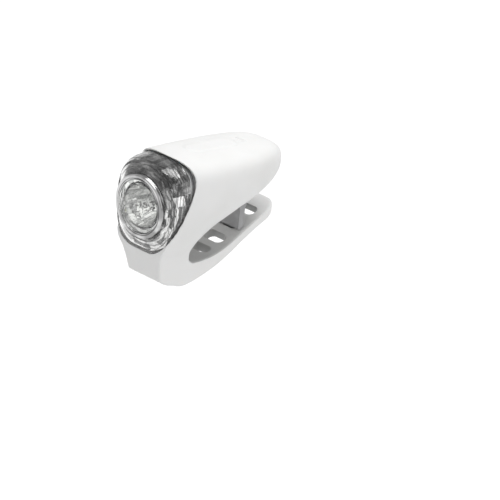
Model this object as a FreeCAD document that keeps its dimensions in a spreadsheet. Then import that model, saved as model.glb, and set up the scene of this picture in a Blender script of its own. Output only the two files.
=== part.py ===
import FreeCAD, Part
import math
import os
import re

import Sketcher
from FreeCAD import Placement, Rotation, Vector

# Bicycle headlight: a silicone-skinned lamp that straps onto a handlebar.
# Frame: +X is the rider's left when the lamp faces forward along -Y, +Z is up.
# The origin is the centre of the handlebar that the strap goes round.
# Sizes below are in millimetres and count from the lens: y backwards from the plane of the
# round window, z up from its centre. A "drop" is a distance below that centre.
# An amount that starts with "=" is worked out from the sizes above it.

SIZES = (
    ("bar_behind_lens", 30.5, "handlebar centre behind the window"),
    ("bar_below_lens", 17.3, "handlebar centre below the window's centre"),
    ("body_length", 67.2, "window plane to the tail"),
    ("body_half_width", 15.6, "half the greatest width"),
    ("body_widest_at", 26.0, "where the body is widest"),
    ("front_half_width", 13.4, "half width just ahead of the window"),
    ("crown_height", 17.5, "top of the body at the front"),
    ("crown_fall", 2.7, "fall of the top from there to the tail"),
    ("crown_level_to", 14.0, "the top is level as far as this"),
    ("tail_length", 17.2, "rounded tail"),
    ("tail_start", "=body_length - tail_length", "where the tail starts to round in"),
    ("tail_height", 5.5, "height of the tail's end"),
    ("waist_height", 6.0, "height of the widest line"),
    ("belly_drop", 19.0, "underside of the body at the front"),
    ("belly_rise", 12.16, "rise of the underside from there to the tail"),
    ("belly_level_to", 18.0, "the underside is level as far as this"),
    ("crown_slope", "=crown_fall / (tail_start - crown_level_to)", "slope of the top"),
    ("belly_slope", "=belly_rise / (tail_start - belly_level_to)", "slope of the underside"),
    ("crown_fullness", 0.82, "how square the upper corners are"),
    ("chin_fullness", 0.92, "how square the lower corners are at the front"),
    ("belly_fullness", 0.64, "how square they are from the saddle back"),
    ("chin_full_to", 8.0, "the square corners reach back to here"),
    ("belly_full_from", 30.0, "and are fully round from here"),
    ("tail_power_top", 3.6, "roundness of the tail's top along its length"),
    ("tail_power_plan", 3.0, "the same for its sides"),
    ("tail_power_belly", 2.6, "the same for its underside"),
    ("tail_power_across", 2.2, "roundness of the tail across"),
    ("chin_top_y", 0.5, "upper corner of the flat chin"),
    ("chin_top_drop", 13.5, "the same corner, below the axis"),
    ("chin_base_y", 4.6, "lower edge of the flat chin"),
    ("chin_base_drop", 28.3, "the same edge, below the axis"),
    ("brow_turn_y", 7.2, "front edge of the skin half way up"),
    ("brow_turn_drop", 4.7, "the same point, below the axis"),
    ("brow_y", 12.6, "front edge of the skin over the cover"),
    ("brow_height", 9.0, "the same point, above the axis"),
    ("brow_bend_y", 12.7, "the edge where it leans forwards"),
    ("brow_bend_height", 13.6, "the same point, above the axis"),
    ("brow_top_y", 11.0, "the edge on top of the lamp"),
    ("leg_top_half_width", 12.4, "leg where it leaves the body"),
    ("leg_top_drop", 6.0, "the same section, below the axis"),
    ("leg_base_half_width", 8.7, "leg at its lip"),
    ("leg_lip_drop", 26.3, "lower end of the leg"),
    ("leg_back_y", 17.7, "rear face of the leg"),
    ("saddle_front_drop", 16.2, "saddle line where it meets the leg"),
    ("saddle_round", 6.0, "fillet between leg and saddle"),
    ("hook_from_tail", 18.4, "the hook's plate, ahead of the tail's end"),
    ("hook_middle_y", "=body_length - hook_from_tail", "middle of the hook's plate"),
    ("pad_ahead", 8.3, "flat pad under the body, ahead of the hook"),
    ("pad_behind", 2.7, "and behind it"),
    ("pad_front_y", "=hook_middle_y - pad_ahead", "front of that pad"),
    ("pad_back_y", "=hook_middle_y + pad_behind", "back of that pad"),
    ("pad_drop", 6.0, "underside of that pad"),
    ("pivot_y", 12.4, "middle of the strap's bend"),
    ("pivot_drop", 25.9, "the same point, below the axis"),
    ("heel_radius", 6.2, "rounded heel of the strap"),
    ("heel_gap", 0.3, "room round the heel"),
    ("strap_half_width", 8.3, "half the strap's width"),
    ("strap_root_y", 16.3, "where the strap's thick root is measured"),
    ("strap_root_thickness", 10.4, "strap at its root"),
    ("strap_tip_thickness", 3.5, "strap at its tip"),
    ("strap_taper_power", 2.0, "how fast its root thickens"),
    ("strap_from_tail", 1.2, "the strap's tip, ahead of the tail's end"),
    ("strap_end_y", "=body_length - strap_from_tail", "tip of the strap"),
    ("slot_length", 9.6, "strap slot, across the strap"),
    ("slot_width", 4.6, "strap slot, along the strap"),
    ("slot_pitch", 7.6, "from slot to slot along y"),
    ("slot_behind_hook", 0.1, "middle of the hooked slot behind that of the hook"),
    ("hooked_slot_y", "=hook_middle_y + slot_behind_hook", "the slot that is on the hook"),
    ("taper_behind_hook", 3.2, "end of the strap's taper behind the hook"),
    ("strap_taper_y", "=hook_middle_y + taper_behind_hook", "where the taper ends"),
    ("skin_wall", 2.0, "silicone skin"),
    ("skin_gap", 0.1, "between skin and what it is stretched over"),
    ("cover_front_y", 0.3, "front face of the clear cover"),
    ("cover_ring_radius", 12.2, "round rim of the cover's face"),
    ("cover_cheek_y", 7.0, "where the cover's rounded front ends"),
    ("cover_chin_y", 2.3, "and where it ends underneath"),
    ("cover_cheek_half_width", 14.1, "cover there: half width"),
    ("cover_cheek_top", 16.6, "cover there: top"),
    ("cover_cheek_drop", 17.6, "cover there: bottom"),
    ("cover_cheek_middle", 5.0, "cover there: height of its widest line"),
    ("cover_roundness", 2.2, "how blunt the rounded front is"),
    ("cover_back_y", 15.0, "rear edge of the cover"),
    ("cover_back_half_width", 14.6, "rear edge: half width"),
    ("cover_back_top", 16.8, "rear edge: top"),
    ("cover_back_drop", 18.0, "rear edge: bottom"),
    ("cover_wall", 1.3, "wall of the cover"),
    ("cover_fit", 0.15, "between the cover and the housing's collar"),
    ("lens_radius", 9.9, "clear window lens"),
    ("lens_bulge", 1.9, "rise of its front"),
    ("lens_rim", 1.2, "how far the lens stands out of the cover before it rises"),
    ("lens_flange_radius", 10.9, "flange behind the cover's face"),
    ("lens_flange", 0.8, "thickness of that flange"),
    ("lens_gap", 0.1, "round the window lens"),
    ("bezel_outer_radius", 12.0, "bright ring: outside"),
    ("bezel_height", 1.7, "bright ring: how far it stands out"),
    ("reflector_gap", 0.25, "between reflector and cover"),
    ("reflector_wall", 0.6, "moulded reflector"),
    ("reflector_front_y", 2.5, "front plate of the reflector"),
    ("shroud_back_y", 10.2, "rear edge of the reflector's shroud"),
    ("bowl_mouth_radius", 8.0, "mouth of the bowl"),
    ("bowl_throat_radius", 2.7, "throat of the bowl"),
    ("bowl_back_y", 11.7, "rear end of the bowl"),
    ("bulkhead_front_y", 14.1, "wall that carries the emitter's board"),
    ("cavity_front_y", 16.6, "rear face of that wall"),
    ("collar_front_y", 11.2, "front of the collar inside the cover"),
    ("collar_wall", 1.15, "wall of that collar"),
    ("collar_step", 0.3, "where it joins the shell it is smaller by this"),
    ("housing_wall", 1.4, "wall of the hard housing"),
    ("split_height", 5.5, "joint between the housing's halves"),
    ("seal_thickness", 0.5, "housing seal, across the wall"),
    ("seal_height", 0.6, "housing seal, upwards"),
    ("cover_seal_y", 12.2, "front of the cover's seal"),
    ("cover_seal_width", 1.0, "cover's seal along y"),
    ("cover_seal_depth", 0.6, "depth of its groove"),
    ("led_board_radius", 8.0, "aluminium board"),
    ("led_board_thickness", 1.6, "aluminium board"),
    ("emitter_side", 3.45, "emitter's base"),
    ("emitter_base", 0.6, "emitter's base thickness"),
    ("emitter_dome", 1.3, "emitter's dome radius"),
    ("led_screw_x", 6.0, "screws in the emitter's board"),
    ("led_lead_x", 0.8, "wires to the emitter's board"),
    ("wire_radius", 0.45, "insulated wire"),
    ("wire_hole_radius", 1.6, "hole for the wires"),
    ("board_front_y", 21.6, "main board"),
    ("boss_from_tail", 17.2, "rear screw bosses, ahead of the tail's end"),
    ("boss_back_y", "=body_length - boss_from_tail", "rear screw bosses"),
    ("boss_radius", 1.7, "lower bosses"),
    ("board_step_ahead", 3.1, "the main board narrows this far ahead of the rear bosses"),
    ("board_step_y", "=boss_back_y - board_step_ahead", "where the main board narrows"),
    ("board_from_tail", 8.2, "main board's rear end, ahead of the tail's end"),
    ("board_back_y", "=body_length - board_from_tail", "main board"),
    ("board_half_width", 8.2, "main board, front"),
    ("board_tail_half_width", 5.8, "main board, rear"),
    ("board_bottom", 6.0, "underside of the main board"),
    ("board_thickness", 1.0, "main board"),
    ("cell_front_y", 20.6, "lithium cell"),
    ("cell_back_room", 1.9, "from the cell to the rear bosses, for its board and leads"),
    ("cell_length", "=boss_back_y - boss_radius - cell_back_room - cell_front_y", "lithium cell"),
    ("cell_width", 17.0, "lithium cell"),
    ("cell_thickness", 7.4, "lithium cell"),
    ("cell_drop", 2.2, "underside of the cell"),
    ("cell_corner", 1.6, "rounding of the cell's long edges"),
    ("foam_thickness", 0.7, "foam pad between cell and board"),
    ("fit_gap", 0.05, "close fits inside the housing"),
    ("cell_board_thickness", 0.8, "protection board on the cell"),
    ("window_from_tail", 17.7, "status window, ahead of the tail's end"),
    ("window_y", "=body_length - window_from_tail", "status window, middle"),
    ("button_front_y", 21.0, "button pad"),
    ("button_to_window", 3.5, "from the button pad to the status window's middle"),
    ("button_back_y", "=window_y - button_to_window", "button pad"),
    ("switch_y", "=(button_front_y + button_back_y) / 2", "middle of the switch"),
    ("switch_side", 6.0, "switch body"),
    ("switch_height", 3.4, "switch body"),
    ("plunger_radius", 1.7, "switch plunger"),
    ("plunger_height", 1.6, "switch plunger above its body"),
    ("plunger_travel", 0.5, "travel of button and plunger"),
    ("plunger_gap", 0.06, "running gap round the plunger"),
    ("button_half_width", 4.6, "button pad"),
    ("button_proud", 0.4, "pad above the skin"),
    ("button_depth", 1.3, "pad below the skin's surface"),
    ("button_gap", 0.3, "room round the pad"),
    ("nub_radius", 1.5, "nub under the pad"),
    ("window_length", 4.4, "status window, across"),
    ("window_width", 1.2, "status window, along"),
    ("status_led_height", 0.7, "status LED"),
    ("socket_from_tail", 10.6, "charging socket, ahead of the tail's end"),
    ("socket_y", "=body_length - socket_from_tail", "charging socket, middle"),
    ("socket_width", 7.5, "charging socket"),
    ("socket_depth", 2.6, "charging socket"),
    ("socket_height", 5.4, "charging socket"),
    ("socket_wall", 0.35, "charging socket's sheet"),
    ("plug_from_tail", 6.0, "hinge line of the port plug, ahead of the tail's end"),
    ("plug_hinge_y", "=body_length - plug_from_tail", "hinge line of the port plug"),
    ("plug_run", 7.0, "port plug, along y"),
    ("plug_front_y", "=plug_hinge_y - plug_run", "front edge of the port plug"),
    ("plug_half_width", 5.2, "port plug"),
    ("plug_gap", 0.15, "room round the plug"),
    ("plug_swing_gap", 0.35, "room ahead of the plug, for its swing"),
    ("stem_depth", 2.6, "the plug's stem, from the skin's surface"),
    ("stem_half_width", 4.1, "the plug's stem"),
    ("stem_back", 1.2, "the stem's rear face, from the hinge line"),
    ("stem_length", 3.8, "the plug's stem, along"),
    ("stem_swing_gap", 0.75, "room ahead of the stem, for its swing"),
    ("hook_half_width", 4.5, "hook's plate"),
    ("hook_thickness", 2.2, "hook's plate"),
    ("hook_root_thickness", 3.6, "thick root of the plate, which takes the screws"),
    ("hook_root_drop", 10.9, "lower end of that root"),
    ("hook_plate_drop", 16.6, "lower end of the plate"),
    ("hook_shoulder_half_width", 6.8, "wide front of the plate, below the skin"),
    ("hook_shoulder_ahead", 2.2, "how far it stands ahead of the plate"),
    ("hook_shoulder_overlap", 0.5, "how far it reaches back into the plate"),
    ("hook_shoulder_drop", 18.4, "its lower front edge, just over the strap"),
    ("hook_shoulder_back_drop", 17.2, "its lower back edge"),
    ("hook_neck_half_width", 3.4, "hook's neck, in the slot"),
    ("hook_neck_thickness", 2.0, "hook's neck"),
    ("hook_foot_half_width", 3.4, "hook's foot"),
    ("hook_foot_top_drop", 22.2, "top of the foot"),
    ("hook_foot_height", 2.2, "hook's foot"),
    ("hook_lip", 0.8, "how far the foot reaches back past the neck"),
    ("hook_flange_half_width", 7.0, "flange inside the skin"),
    ("hook_flange_ahead", 4.2, "flange inside the skin, ahead of the plate's middle"),
    ("hook_flange_behind", 2.7, "and behind it"),
    ("hook_flange_thickness", 1.1, "flange inside the skin"),
    ("boss_front_y", 18.6, "front screw bosses"),
    ("boss_front_x", 10.2, "front screw bosses"),
    ("boss_back_x", 8.6, "rear screw bosses"),
    ("boss_top_radius", 2.6, "upper bosses"),
    ("screw_radius", 0.8, "screw shank"),
    ("screw_head_radius", 1.5, "screw head"),
    ("screw_head_height", 1.1, "screw head"),
    ("screw_length", 8.5, "housing screw, under its head"),
    ("screw_gap", 0.06, "round a screw"),
    ("screw_seat", 8.3, "seat of the housing screws"),
    ("board_post_x", 4.2, "posts under the board's tail"),
    ("board_post_behind", 2.6, "posts under the board's tail, behind the rear bosses"),
    ("board_post_y", "=boss_back_y + board_post_behind", "posts under the board's tail"),
    ("board_post_radius", 1.3, "posts under the board's tail"),
    ("rib_front_y", 24.0, "front cradle rib"),
    ("rib_spacing", 9.0, "to the rear cradle rib"),
    ("rib_thickness", 1.5, "cradle ribs"),
)

# The outer line of the strap from its heel to its tip: distance behind the window, and drop.
STRAP_LINE = ((12.2, 31.8), (16.3, 33.0), (21.5, 32.6), (28.0, 31.0), (34.5, 28.8),
              (41.0, 25.7), (47.5, 22.0), (54.0, 18.7), (59.5, 16.4), (66.0, 14.7))
FAR = 60.0

doc = FreeCAD.newDocument("bicycle_headlight")
sheet = doc.addObject("Spreadsheet::Sheet", "sizes")
for row, (alias, amount, note) in enumerate(SIZES, start=1):
    sheet.set("A%d" % row, note)
    sheet.set("B%d" % row, str(amount))
    sheet.setAlias("B%d" % row, alias)
doc.recompute()

ALIASES = {alias for alias, _, _ in SIZES}
finished = []


def named(formula):
    """Point every size in a formula at the sheet."""
    return re.sub(r"[a-z_]+", lambda m: "sizes." + m.group() if m.group() in ALIASES else m.group(),
                  str(formula))


def value(formula):
    """The number that a formula gives."""
    return float(sheet.evalExpression(named(formula)))


def bind(thing, **formulas):
    """Bind properties of a document object; a double underscore stands for a dot."""
    for name, formula in formulas.items():
        thing.setExpression(name.replace("__", "."), named(formula))


def seat(thing, x, y, z):
    """Place an object by the lens coordinates of its own origin."""
    bind(thing, Placement__Base__x=x, Placement__Base__y="%s - bar_behind_lens" % y,
         Placement__Base__z="%s + bar_below_lens" % z)


def finish(thing, label):
    """Name a finished sub-part and keep it for the hand-over."""
    thing.Label = label
    finished.append(thing)
    return thing


def shaped(label, shape):
    """A finished sub-part from a shape that is worked out in lens coordinates."""
    feature = doc.addObject("Part::Feature", label)
    feature.Shape = shape.removeSplitter() if shape.ShapeType != "Compound" else shape
    feature.Placement = Placement(Vector(0, -value("bar_behind_lens"), value("bar_below_lens")), Rotation())
    return finish(feature, label)


# Document primitives

def block(name, x, y, z, length, width, height):
    """Box from its low corner."""
    box = doc.addObject("Part::Box", name)
    bind(box, Length=length, Width=width, Height=height)
    seat(box, x, y, z)
    return box


def rod(name, x, y, z, radius, height, along="Z"):
    """Cylinder from its base centre, upwards or along +Y."""
    cylinder = doc.addObject("Part::Cylinder", name)
    if along == "Y":
        cylinder.Placement = Placement(Vector(), Rotation(Vector(1, 0, 0), -90))
    bind(cylinder, Radius=radius, Height=height)
    seat(cylinder, x, y, z)
    return cylinder


def fused(name, *shapes):
    """Union of document objects."""
    union = doc.addObject("Part::MultiFuse", name)
    union.Shapes = list(shapes)
    return union


def cut(name, base, tool):
    """Difference of two document objects."""
    difference = doc.addObject("Part::Cut", name)
    difference.Base = base
    difference.Tool = tool
    return difference


def design(label, x, y, z):
    """Empty PartDesign body at a place in lens coordinates."""
    body = doc.addObject("PartDesign::Body", label)
    seat(body, x, y, z)
    return finish(body, label)


def sketch_on(body, role, name):
    """New sketch on one of a body's origin planes."""
    sketch = body.newObject("Sketcher::SketchObject", name)
    plane = next(f for f in body.Origin.OriginFeatures if f.Role == role)
    sketch.AttachmentSupport = [(plane, "")]
    sketch.MapMode = "FlatFace"
    return sketch


def outline(sketch, corners):
    """Closed polygon in a sketch, each corner a pair of formulas bound to the sheet."""
    first = sketch.GeometryCount
    points = [Vector(value(u), value(v), 0) for u, v in corners]
    count = len(points)
    for i, point in enumerate(points):
        sketch.addGeometry(Part.LineSegment(point, points[(i + 1) % count]))
    for i in range(count):
        sketch.addConstraint(Sketcher.Constraint("Coincident", first + i, 2, first + (i + 1) % count, 1))
    for i, (u, v) in enumerate(corners):
        for kind, formula, axis in (("DistanceX", u, -2), ("DistanceY", v, -1)):
            amount = value(formula)
            if amount == 0:
                sketch.addConstraint(Sketcher.Constraint("PointOnObject", first + i, 1, axis))
            else:
                index = sketch.addConstraint(Sketcher.Constraint(kind, -1, 1, first + i, 1, amount))
                sketch.setExpression("Constraints[%d]" % index, named(formula))


def circle(sketch, u, radius):
    """Circle on a sketch's horizontal axis, its place and radius bound to the sheet."""
    index = sketch.addGeometry(Part.Circle(Vector(value(u), 0, 0), Vector(0, 0, 1), value(radius)))
    sketch.addConstraint(Sketcher.Constraint("PointOnObject", index, 3, -1))
    if value(u) == 0:
        sketch.addConstraint(Sketcher.Constraint("PointOnObject", index, 3, -2))
    else:
        place = sketch.addConstraint(Sketcher.Constraint("DistanceX", -1, 1, index, 3, value(u)))
        sketch.setExpression("Constraints[%d]" % place, named(u))
    size = sketch.addConstraint(Sketcher.Constraint("Radius", index, value(radius)))
    sketch.setExpression("Constraints[%d]" % size, named(radius))


def pad(body, sketch, length, name):
    """Pad of a sketch along its normal."""
    feature = body.newObject("PartDesign::Pad", name)
    feature.Profile = sketch
    bind(feature, Length=length)
    sketch.Visibility = False
    return feature


def pocket(body, sketch, name, length, reverse=False):
    """Pocket of a sketch, a stated depth into the body."""
    feature = body.newObject("PartDesign::Pocket", name)
    feature.Profile = sketch
    feature.Reversed = reverse
    bind(feature, Length=length)
    return feature


# Shapes in lens coordinates

def prism(corners, half_width):
    """A side view (y, z) closed by straight lines, extruded both ways along X."""
    points = [Vector(-half_width, y, z) for y, z in corners]
    face = Part.Face(Part.makePolygon(points + points[:1]))
    return face.extrude(Vector(2 * half_width, 0, 0))


def cuboid(x0, x1, y0, y1, z0, z1):
    """Box between two corners."""
    return Part.makeBox(x1 - x0, y1 - y0, z1 - z0, Vector(x0, y0, z0))


def post(x, y, z0, z1, radius):
    """Upright cylinder between two heights."""
    return Part.makeCylinder(radius, z1 - z0, Vector(x, y, z0))


def along_y(x, y0, y1, z, radius):
    """Cylinder along Y."""
    return Part.makeCylinder(radius, y1 - y0, Vector(x, y0, z), Vector(0, 1, 0))


def stadium(y0, y1, half_width, z0, z1):
    """Upright prism with a round end at y0 and y1."""
    ends = [post(0, y, z0, z1, half_width) for y in (y0 + half_width, y1 - half_width)]
    middle = cuboid(-half_width, half_width, y0 + half_width, y1 - half_width, z0, z1)
    return middle.fuse(ends).removeSplitter()


def curve(points):
    """Smooth curve through points."""
    spline = Part.BSplineCurve()
    spline.interpolate(points)
    return spline


def section(y, half_width, top, bottom, middle, full_top, full_bottom):
    """Egg-shaped section in an upright plane: four curved quarters that meet smoothly."""
    def quarter(side, end, full):
        poles = [Vector(side, y, middle), Vector(side, y, middle + full * (end - middle)),
                 Vector(side * full, y, end), Vector(0, y, end)]
        bezier = Part.BezierCurve()
        bezier.setPoles(poles)
        return bezier.toShape()
    return Part.Wire([quarter(half_width, top, full_top), quarter(-half_width, top, full_top),
                      quarter(-half_width, bottom, full_bottom), quarter(half_width, bottom, full_bottom)])


def tail_share(y, start, end, power):
    """How much of the full section is left at y: 1 before start, 0 at the end."""
    share = min(1.0, max(0.0, (y - start) / (end - start)))
    return (1 - share ** value(power)) ** (1 / value("tail_power_across"))


def belly(y, inset=0.0):
    """Height of the body's underside at y, on the middle plane."""
    share = tail_share(y, value("tail_start"), value("body_length") - inset, "tail_power_belly")
    depth = value("belly_drop") - inset - value("belly_slope") * max(0.0, y - value("belly_level_to"))
    return value("tail_height") - (value("tail_height") + depth) * share


def crown(y, inset=0.0):
    """Height of the body's top at y, on the middle plane."""
    share = tail_share(y, value("tail_start"), value("body_length") - inset, "tail_power_top")
    height = value("crown_height") - inset - value("crown_slope") * max(0.0, y - value("crown_level_to"))
    return value("tail_height") + (height - value("tail_height")) * share


def body_section(y, inset):
    """The body's section at y, drawn in by inset."""
    widest = value("body_widest_at")
    full = value("body_half_width") - inset
    if y < widest:
        taper = (value("body_half_width") - value("front_half_width")) * ((widest - y) / (widest + 1)) ** 2
        half_width = full - taper
    else:
        half_width = full * tail_share(y, widest, value("body_length") - inset, "tail_power_plan")
    share = tail_share(y, value("tail_start"), value("body_length") - inset, "tail_power_belly")
    middle = value("tail_height") + (value("waist_height") - value("tail_height")) * share
    blend = (y - value("chin_full_to")) / (value("belly_full_from - chin_full_to"))
    blend = min(1.0, max(0.0, blend))
    blend = blend * blend * (3 - 2 * blend)
    lower = value("chin_fullness") + (value("belly_fullness") - value("chin_fullness")) * blend
    return section(y, half_width, crown(y, inset), belly(y, inset), middle,
                   value("crown_fullness"), lower)


def body_solid(start, inset):
    """The whole body from start to its tail, drawn in by inset."""
    tail = value("tail_start")
    end = value("body_length") - inset
    widest = value("body_widest_at")
    body_places = [widest * share for share in (0.25, 0.5, 0.85)]
    body_places += [widest + share * (tail - widest) for share in (0.25, 0.65)]
    body_places = [y for y in body_places if y > start + 2]
    tail_places = [tail + share * (end - tail) for share in (0.0, 0.3, 0.55, 0.75, 0.88, 0.96)]
    wires = [body_section(y, inset) for y in [start] + body_places + tail_places]
    return Part.makeLoft(wires + [Part.Vertex(0, end, value("tail_height"))], True, False)


def cover_section(y, inset, face_inset):
    """The cover's section at y: its rim swells to the full section as a blunt quarter turn."""
    rim = value("cover_ring_radius")
    front, cheek, back = value("cover_front_y"), value("cover_cheek_y"), value("cover_back_y")

    def swell(end):
        share = min(1.0, max(0.0, (y - front) / (end - front)))
        return math.sqrt(1 - (1 - share) ** value("cover_roundness"))

    def between(first, middle, last, share):
        return first + (middle - first) * share + (last - middle) * max(0.0, (y - cheek) / (back - cheek))

    side, under = swell(cheek), swell(value("cover_chin_y"))
    half_width = between(rim, value("cover_cheek_half_width"), value("cover_back_half_width"), side)
    top = between(rim, value("cover_cheek_top"), value("cover_back_top"), side)
    drop = between(rim, value("cover_cheek_drop"), value("cover_back_drop"), under)
    middle = between(0.0, value("cover_cheek_middle"), value("waist_height"), side)
    full_top = between(0.5523, 0.8, 0.82, side)
    full_bottom = between(0.5523, 0.86, 0.84, under)
    place = y + face_inset * min(1.0, (back - y) / (back - cheek))
    return section(place, half_width - inset, top - inset, inset - drop, middle, full_top, full_bottom)


def cover_sections(inset, face_inset):
    """The cover's sections from its round rim to its rear edge."""
    front, cheek = value("cover_front_y"), value("cover_cheek_y")
    places = [front + share * (cheek - front) for share in (0.0, 0.08, 0.3, 0.6, 1.0)]
    return [cover_section(y, inset, face_inset) for y in places + [value("cover_back_y")]]


def cover_solid(inset, face_inset=0.0):
    """The clear cover's outer form, filled, drawn in by inset."""
    return Part.makeLoft(cover_sections(inset, face_inset), True, True)


def slab(shape, y0, y1):
    """What lies between two planes across the lamp."""
    return shape.common(cuboid(-FAR, FAR, y0, y1, -FAR, FAR))


def under_saddle(grow):
    """Everything under the body that the handlebar and the strap need, grown by a wall."""
    slope = (value("saddle_front_drop - pad_drop")) / (value("pad_front_y - leg_back_y"))
    lean = math.hypot(1, slope)
    back, front, pad_z = value("leg_back_y") - grow, value("pad_front_y"), -value("pad_drop") + grow
    lift = grow * lean
    start = -value("saddle_front_drop") + lift + slope * (back - value("leg_back_y"))
    turn = front + (pad_z - (-value("pad_drop") + lift)) / slope
    rear = value("pad_back_y")
    corners = [(back, -FAR), (back, start), (turn, pad_z), (rear, pad_z), (rear, -FAR)]
    solid = prism(corners, FAR)
    inner = [e for e in solid.Edges
             if abs(e.CenterOfMass.y - back) < 0.01 and abs(e.CenterOfMass.z - start) < 0.01]
    return solid.makeFillet(value("saddle_round") + grow, inner)


def front_cut():
    """Everything ahead of the skin's front edge, as seen from the side."""
    chin_top = Vector(0, value("chin_top_y"), -value("chin_top_drop"))
    chin_base = Vector(0, value("chin_base_y"), -value("chin_base_drop"))
    beyond = chin_base + (chin_base - chin_top)
    turn = Vector(0, value("brow_turn_y"), -value("brow_turn_drop"))
    brow = Vector(0, value("brow_y"), value("brow_height"))
    bend = Vector(0, value("brow_bend_y"), value("brow_bend_height"))
    brow_top = Vector(0, value("brow_top_y"), value("crown_height"))
    edges = [Part.makeLine(beyond, chin_top), Part.Arc(chin_top, turn, brow).toShape(),
             Part.Arc(brow, bend, brow_top).toShape()]
    outer = [brow_top, Vector(0, brow_top.y, FAR), Vector(0, -FAR, FAR), Vector(0, -FAR, beyond.z), beyond]
    edges += [Part.makeLine(a, b) for a, b in zip(outer, outer[1:])]
    face = Part.Face(Part.Wire(edges))
    face.translate(Vector(-FAR, 0, 0))
    return face.extrude(Vector(2 * FAR, 0, 0))


def leg():
    """The leg that carries the strap, tapering to its lip."""
    def rectangle(half_width, y0, y1, z):
        corners = [Vector(-half_width, y0, z), Vector(half_width, y0, z),
                   Vector(half_width, y1, z), Vector(-half_width, y1, z)]
        return Part.makePolygon(corners + corners[:1])
    top = rectangle(value("leg_top_half_width"), -3, value("leg_back_y"), -value("leg_top_drop"))
    base = rectangle(value("leg_base_half_width"), -3, value("leg_back_y") + 3, -value("leg_lip_drop"))
    return Part.makeLoft([top, base], True, True)


def heel(radius):
    """Round heel of the strap, or the room for it, right across the leg."""
    start = Vector(-FAR, value("pivot_y"), -value("pivot_drop"))
    return Part.makeCylinder(radius, 2 * FAR, start, Vector(1, 0, 0))


def strap_thickness(y):
    """Thickness of the strap at y."""
    taper = max(0.0, (value("strap_taper_y") - y) / (value("strap_taper_y - strap_root_y")))
    extra = value("strap_root_thickness - strap_tip_thickness")
    return value("strap_tip_thickness") + extra * taper ** value("strap_taper_power")


def strap_lines():
    """Outer, middle and inner lines of the strap as seen from the side."""
    stretch = (value("strap_end_y") - STRAP_LINE[0][0]) / (STRAP_LINE[-1][0] - STRAP_LINE[0][0])
    outer = curve([Vector(0, STRAP_LINE[0][0] + (y - STRAP_LINE[0][0]) * stretch, -drop)
                   for y, drop in STRAP_LINE])
    shifted = {share: [] for share in (0.5, 1.0)}
    for point in [outer.value(outer.parameter(Vector(0, y, -drop))) for y, drop in STRAP_LINE[1:]]:
        tangent = Vector(*outer.tangent(outer.parameter(point))[0])
        normal = Vector(0, -tangent.z, tangent.y)
        for share, line in shifted.items():
            line.append(point + normal * (strap_thickness(point.y) * share))
    return outer, curve(shifted[0.5]), curve(shifted[1.0])


def strap_solid():
    """The strap: heel, tapering tail with a round tip, and its slots."""
    outer, middle, inner = strap_lines()
    width = value("strap_half_width")
    pivot = Vector(0, value("pivot_y"), -value("pivot_drop"))
    edges = [outer.toShape(), Part.makeLine(outer.EndPoint, inner.EndPoint), inner.toShape(),
             Part.makeLine(inner.StartPoint, pivot), Part.makeLine(pivot, outer.StartPoint)]
    face = Part.Face(Part.Wire(Part.__sortEdges__(edges)))
    face.translate(Vector(-width, 0, 0))
    tail = face.extrude(Vector(2 * width, 0, 0))
    disc = heel(value("heel_radius")).common(cuboid(-width, width, -FAR, FAR, -FAR, FAR))
    solid = tail.fuse(disc)
    solid = solid.common(stadium(-FAR, outer.EndPoint.y, width, -FAR, FAR))
    for step in (-2, -1, 0, 1):
        solid = solid.cut(slot_tool(middle, value("hooked_slot_y") + step * value("slot_pitch")))
    return solid


def slot_tool(line, y):
    """Tool for one strap slot, square to the strap's middle line at y."""
    places = [line.value(line.FirstParameter + (line.LastParameter - line.FirstParameter) * i / 400)
              for i in range(401)]
    centre = min(places, key=lambda p: abs(p.y - y))
    tangent = Vector(*line.tangent(line.parameter(centre))[0])
    half, radius = value("slot_length") / 2, value("slot_width") / 2
    ends = [Part.makeCylinder(radius, 20, Vector(side * (half - radius), 0, -10)) for side in (-1, 1)]
    tool = cuboid(radius - half, half - radius, -radius, radius, -10, 10).fuse(ends).removeSplitter()
    lean = math.degrees(math.atan2(tangent.z, tangent.y))
    tool.Placement = Placement(centre, Rotation(Vector(1, 0, 0), lean))
    return tool


# Port plug: its own axes lie in the underside, u forwards from the hinge line and v outwards.

hinge_point = Vector(0, value("plug_hinge_y"), belly(value("plug_hinge_y")))
front_point = Vector(0, value("plug_front_y"), belly(value("plug_front_y")))
plug_lean = math.degrees(math.atan2(hinge_point.z - front_point.z, hinge_point.y - front_point.y))
plug_length = (front_point - hinge_point).Length


def on_belly(x, u0, u1, v0, v1):
    """Box in the port plug's own axes."""
    box = Part.makeBox(2 * x, u1 - u0, v1 - v0, Vector(-x, -u1, -v1))
    box.Placement = Placement(hinge_point, Rotation(Vector(1, 0, 0), plug_lean)).multiply(box.Placement)
    return box


skin_wall = value("skin_wall")
skin_gap = value("skin_gap")
hard_inset = value("skin_wall + skin_gap")
cavity_inset = value("skin_wall + skin_gap + housing_wall")
body = body_solid(-1.0, 0.0)
stem_end = value("stem_back + stem_length")

# Hard housing: shell with a collar inside the cover, split level into two halves

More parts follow.
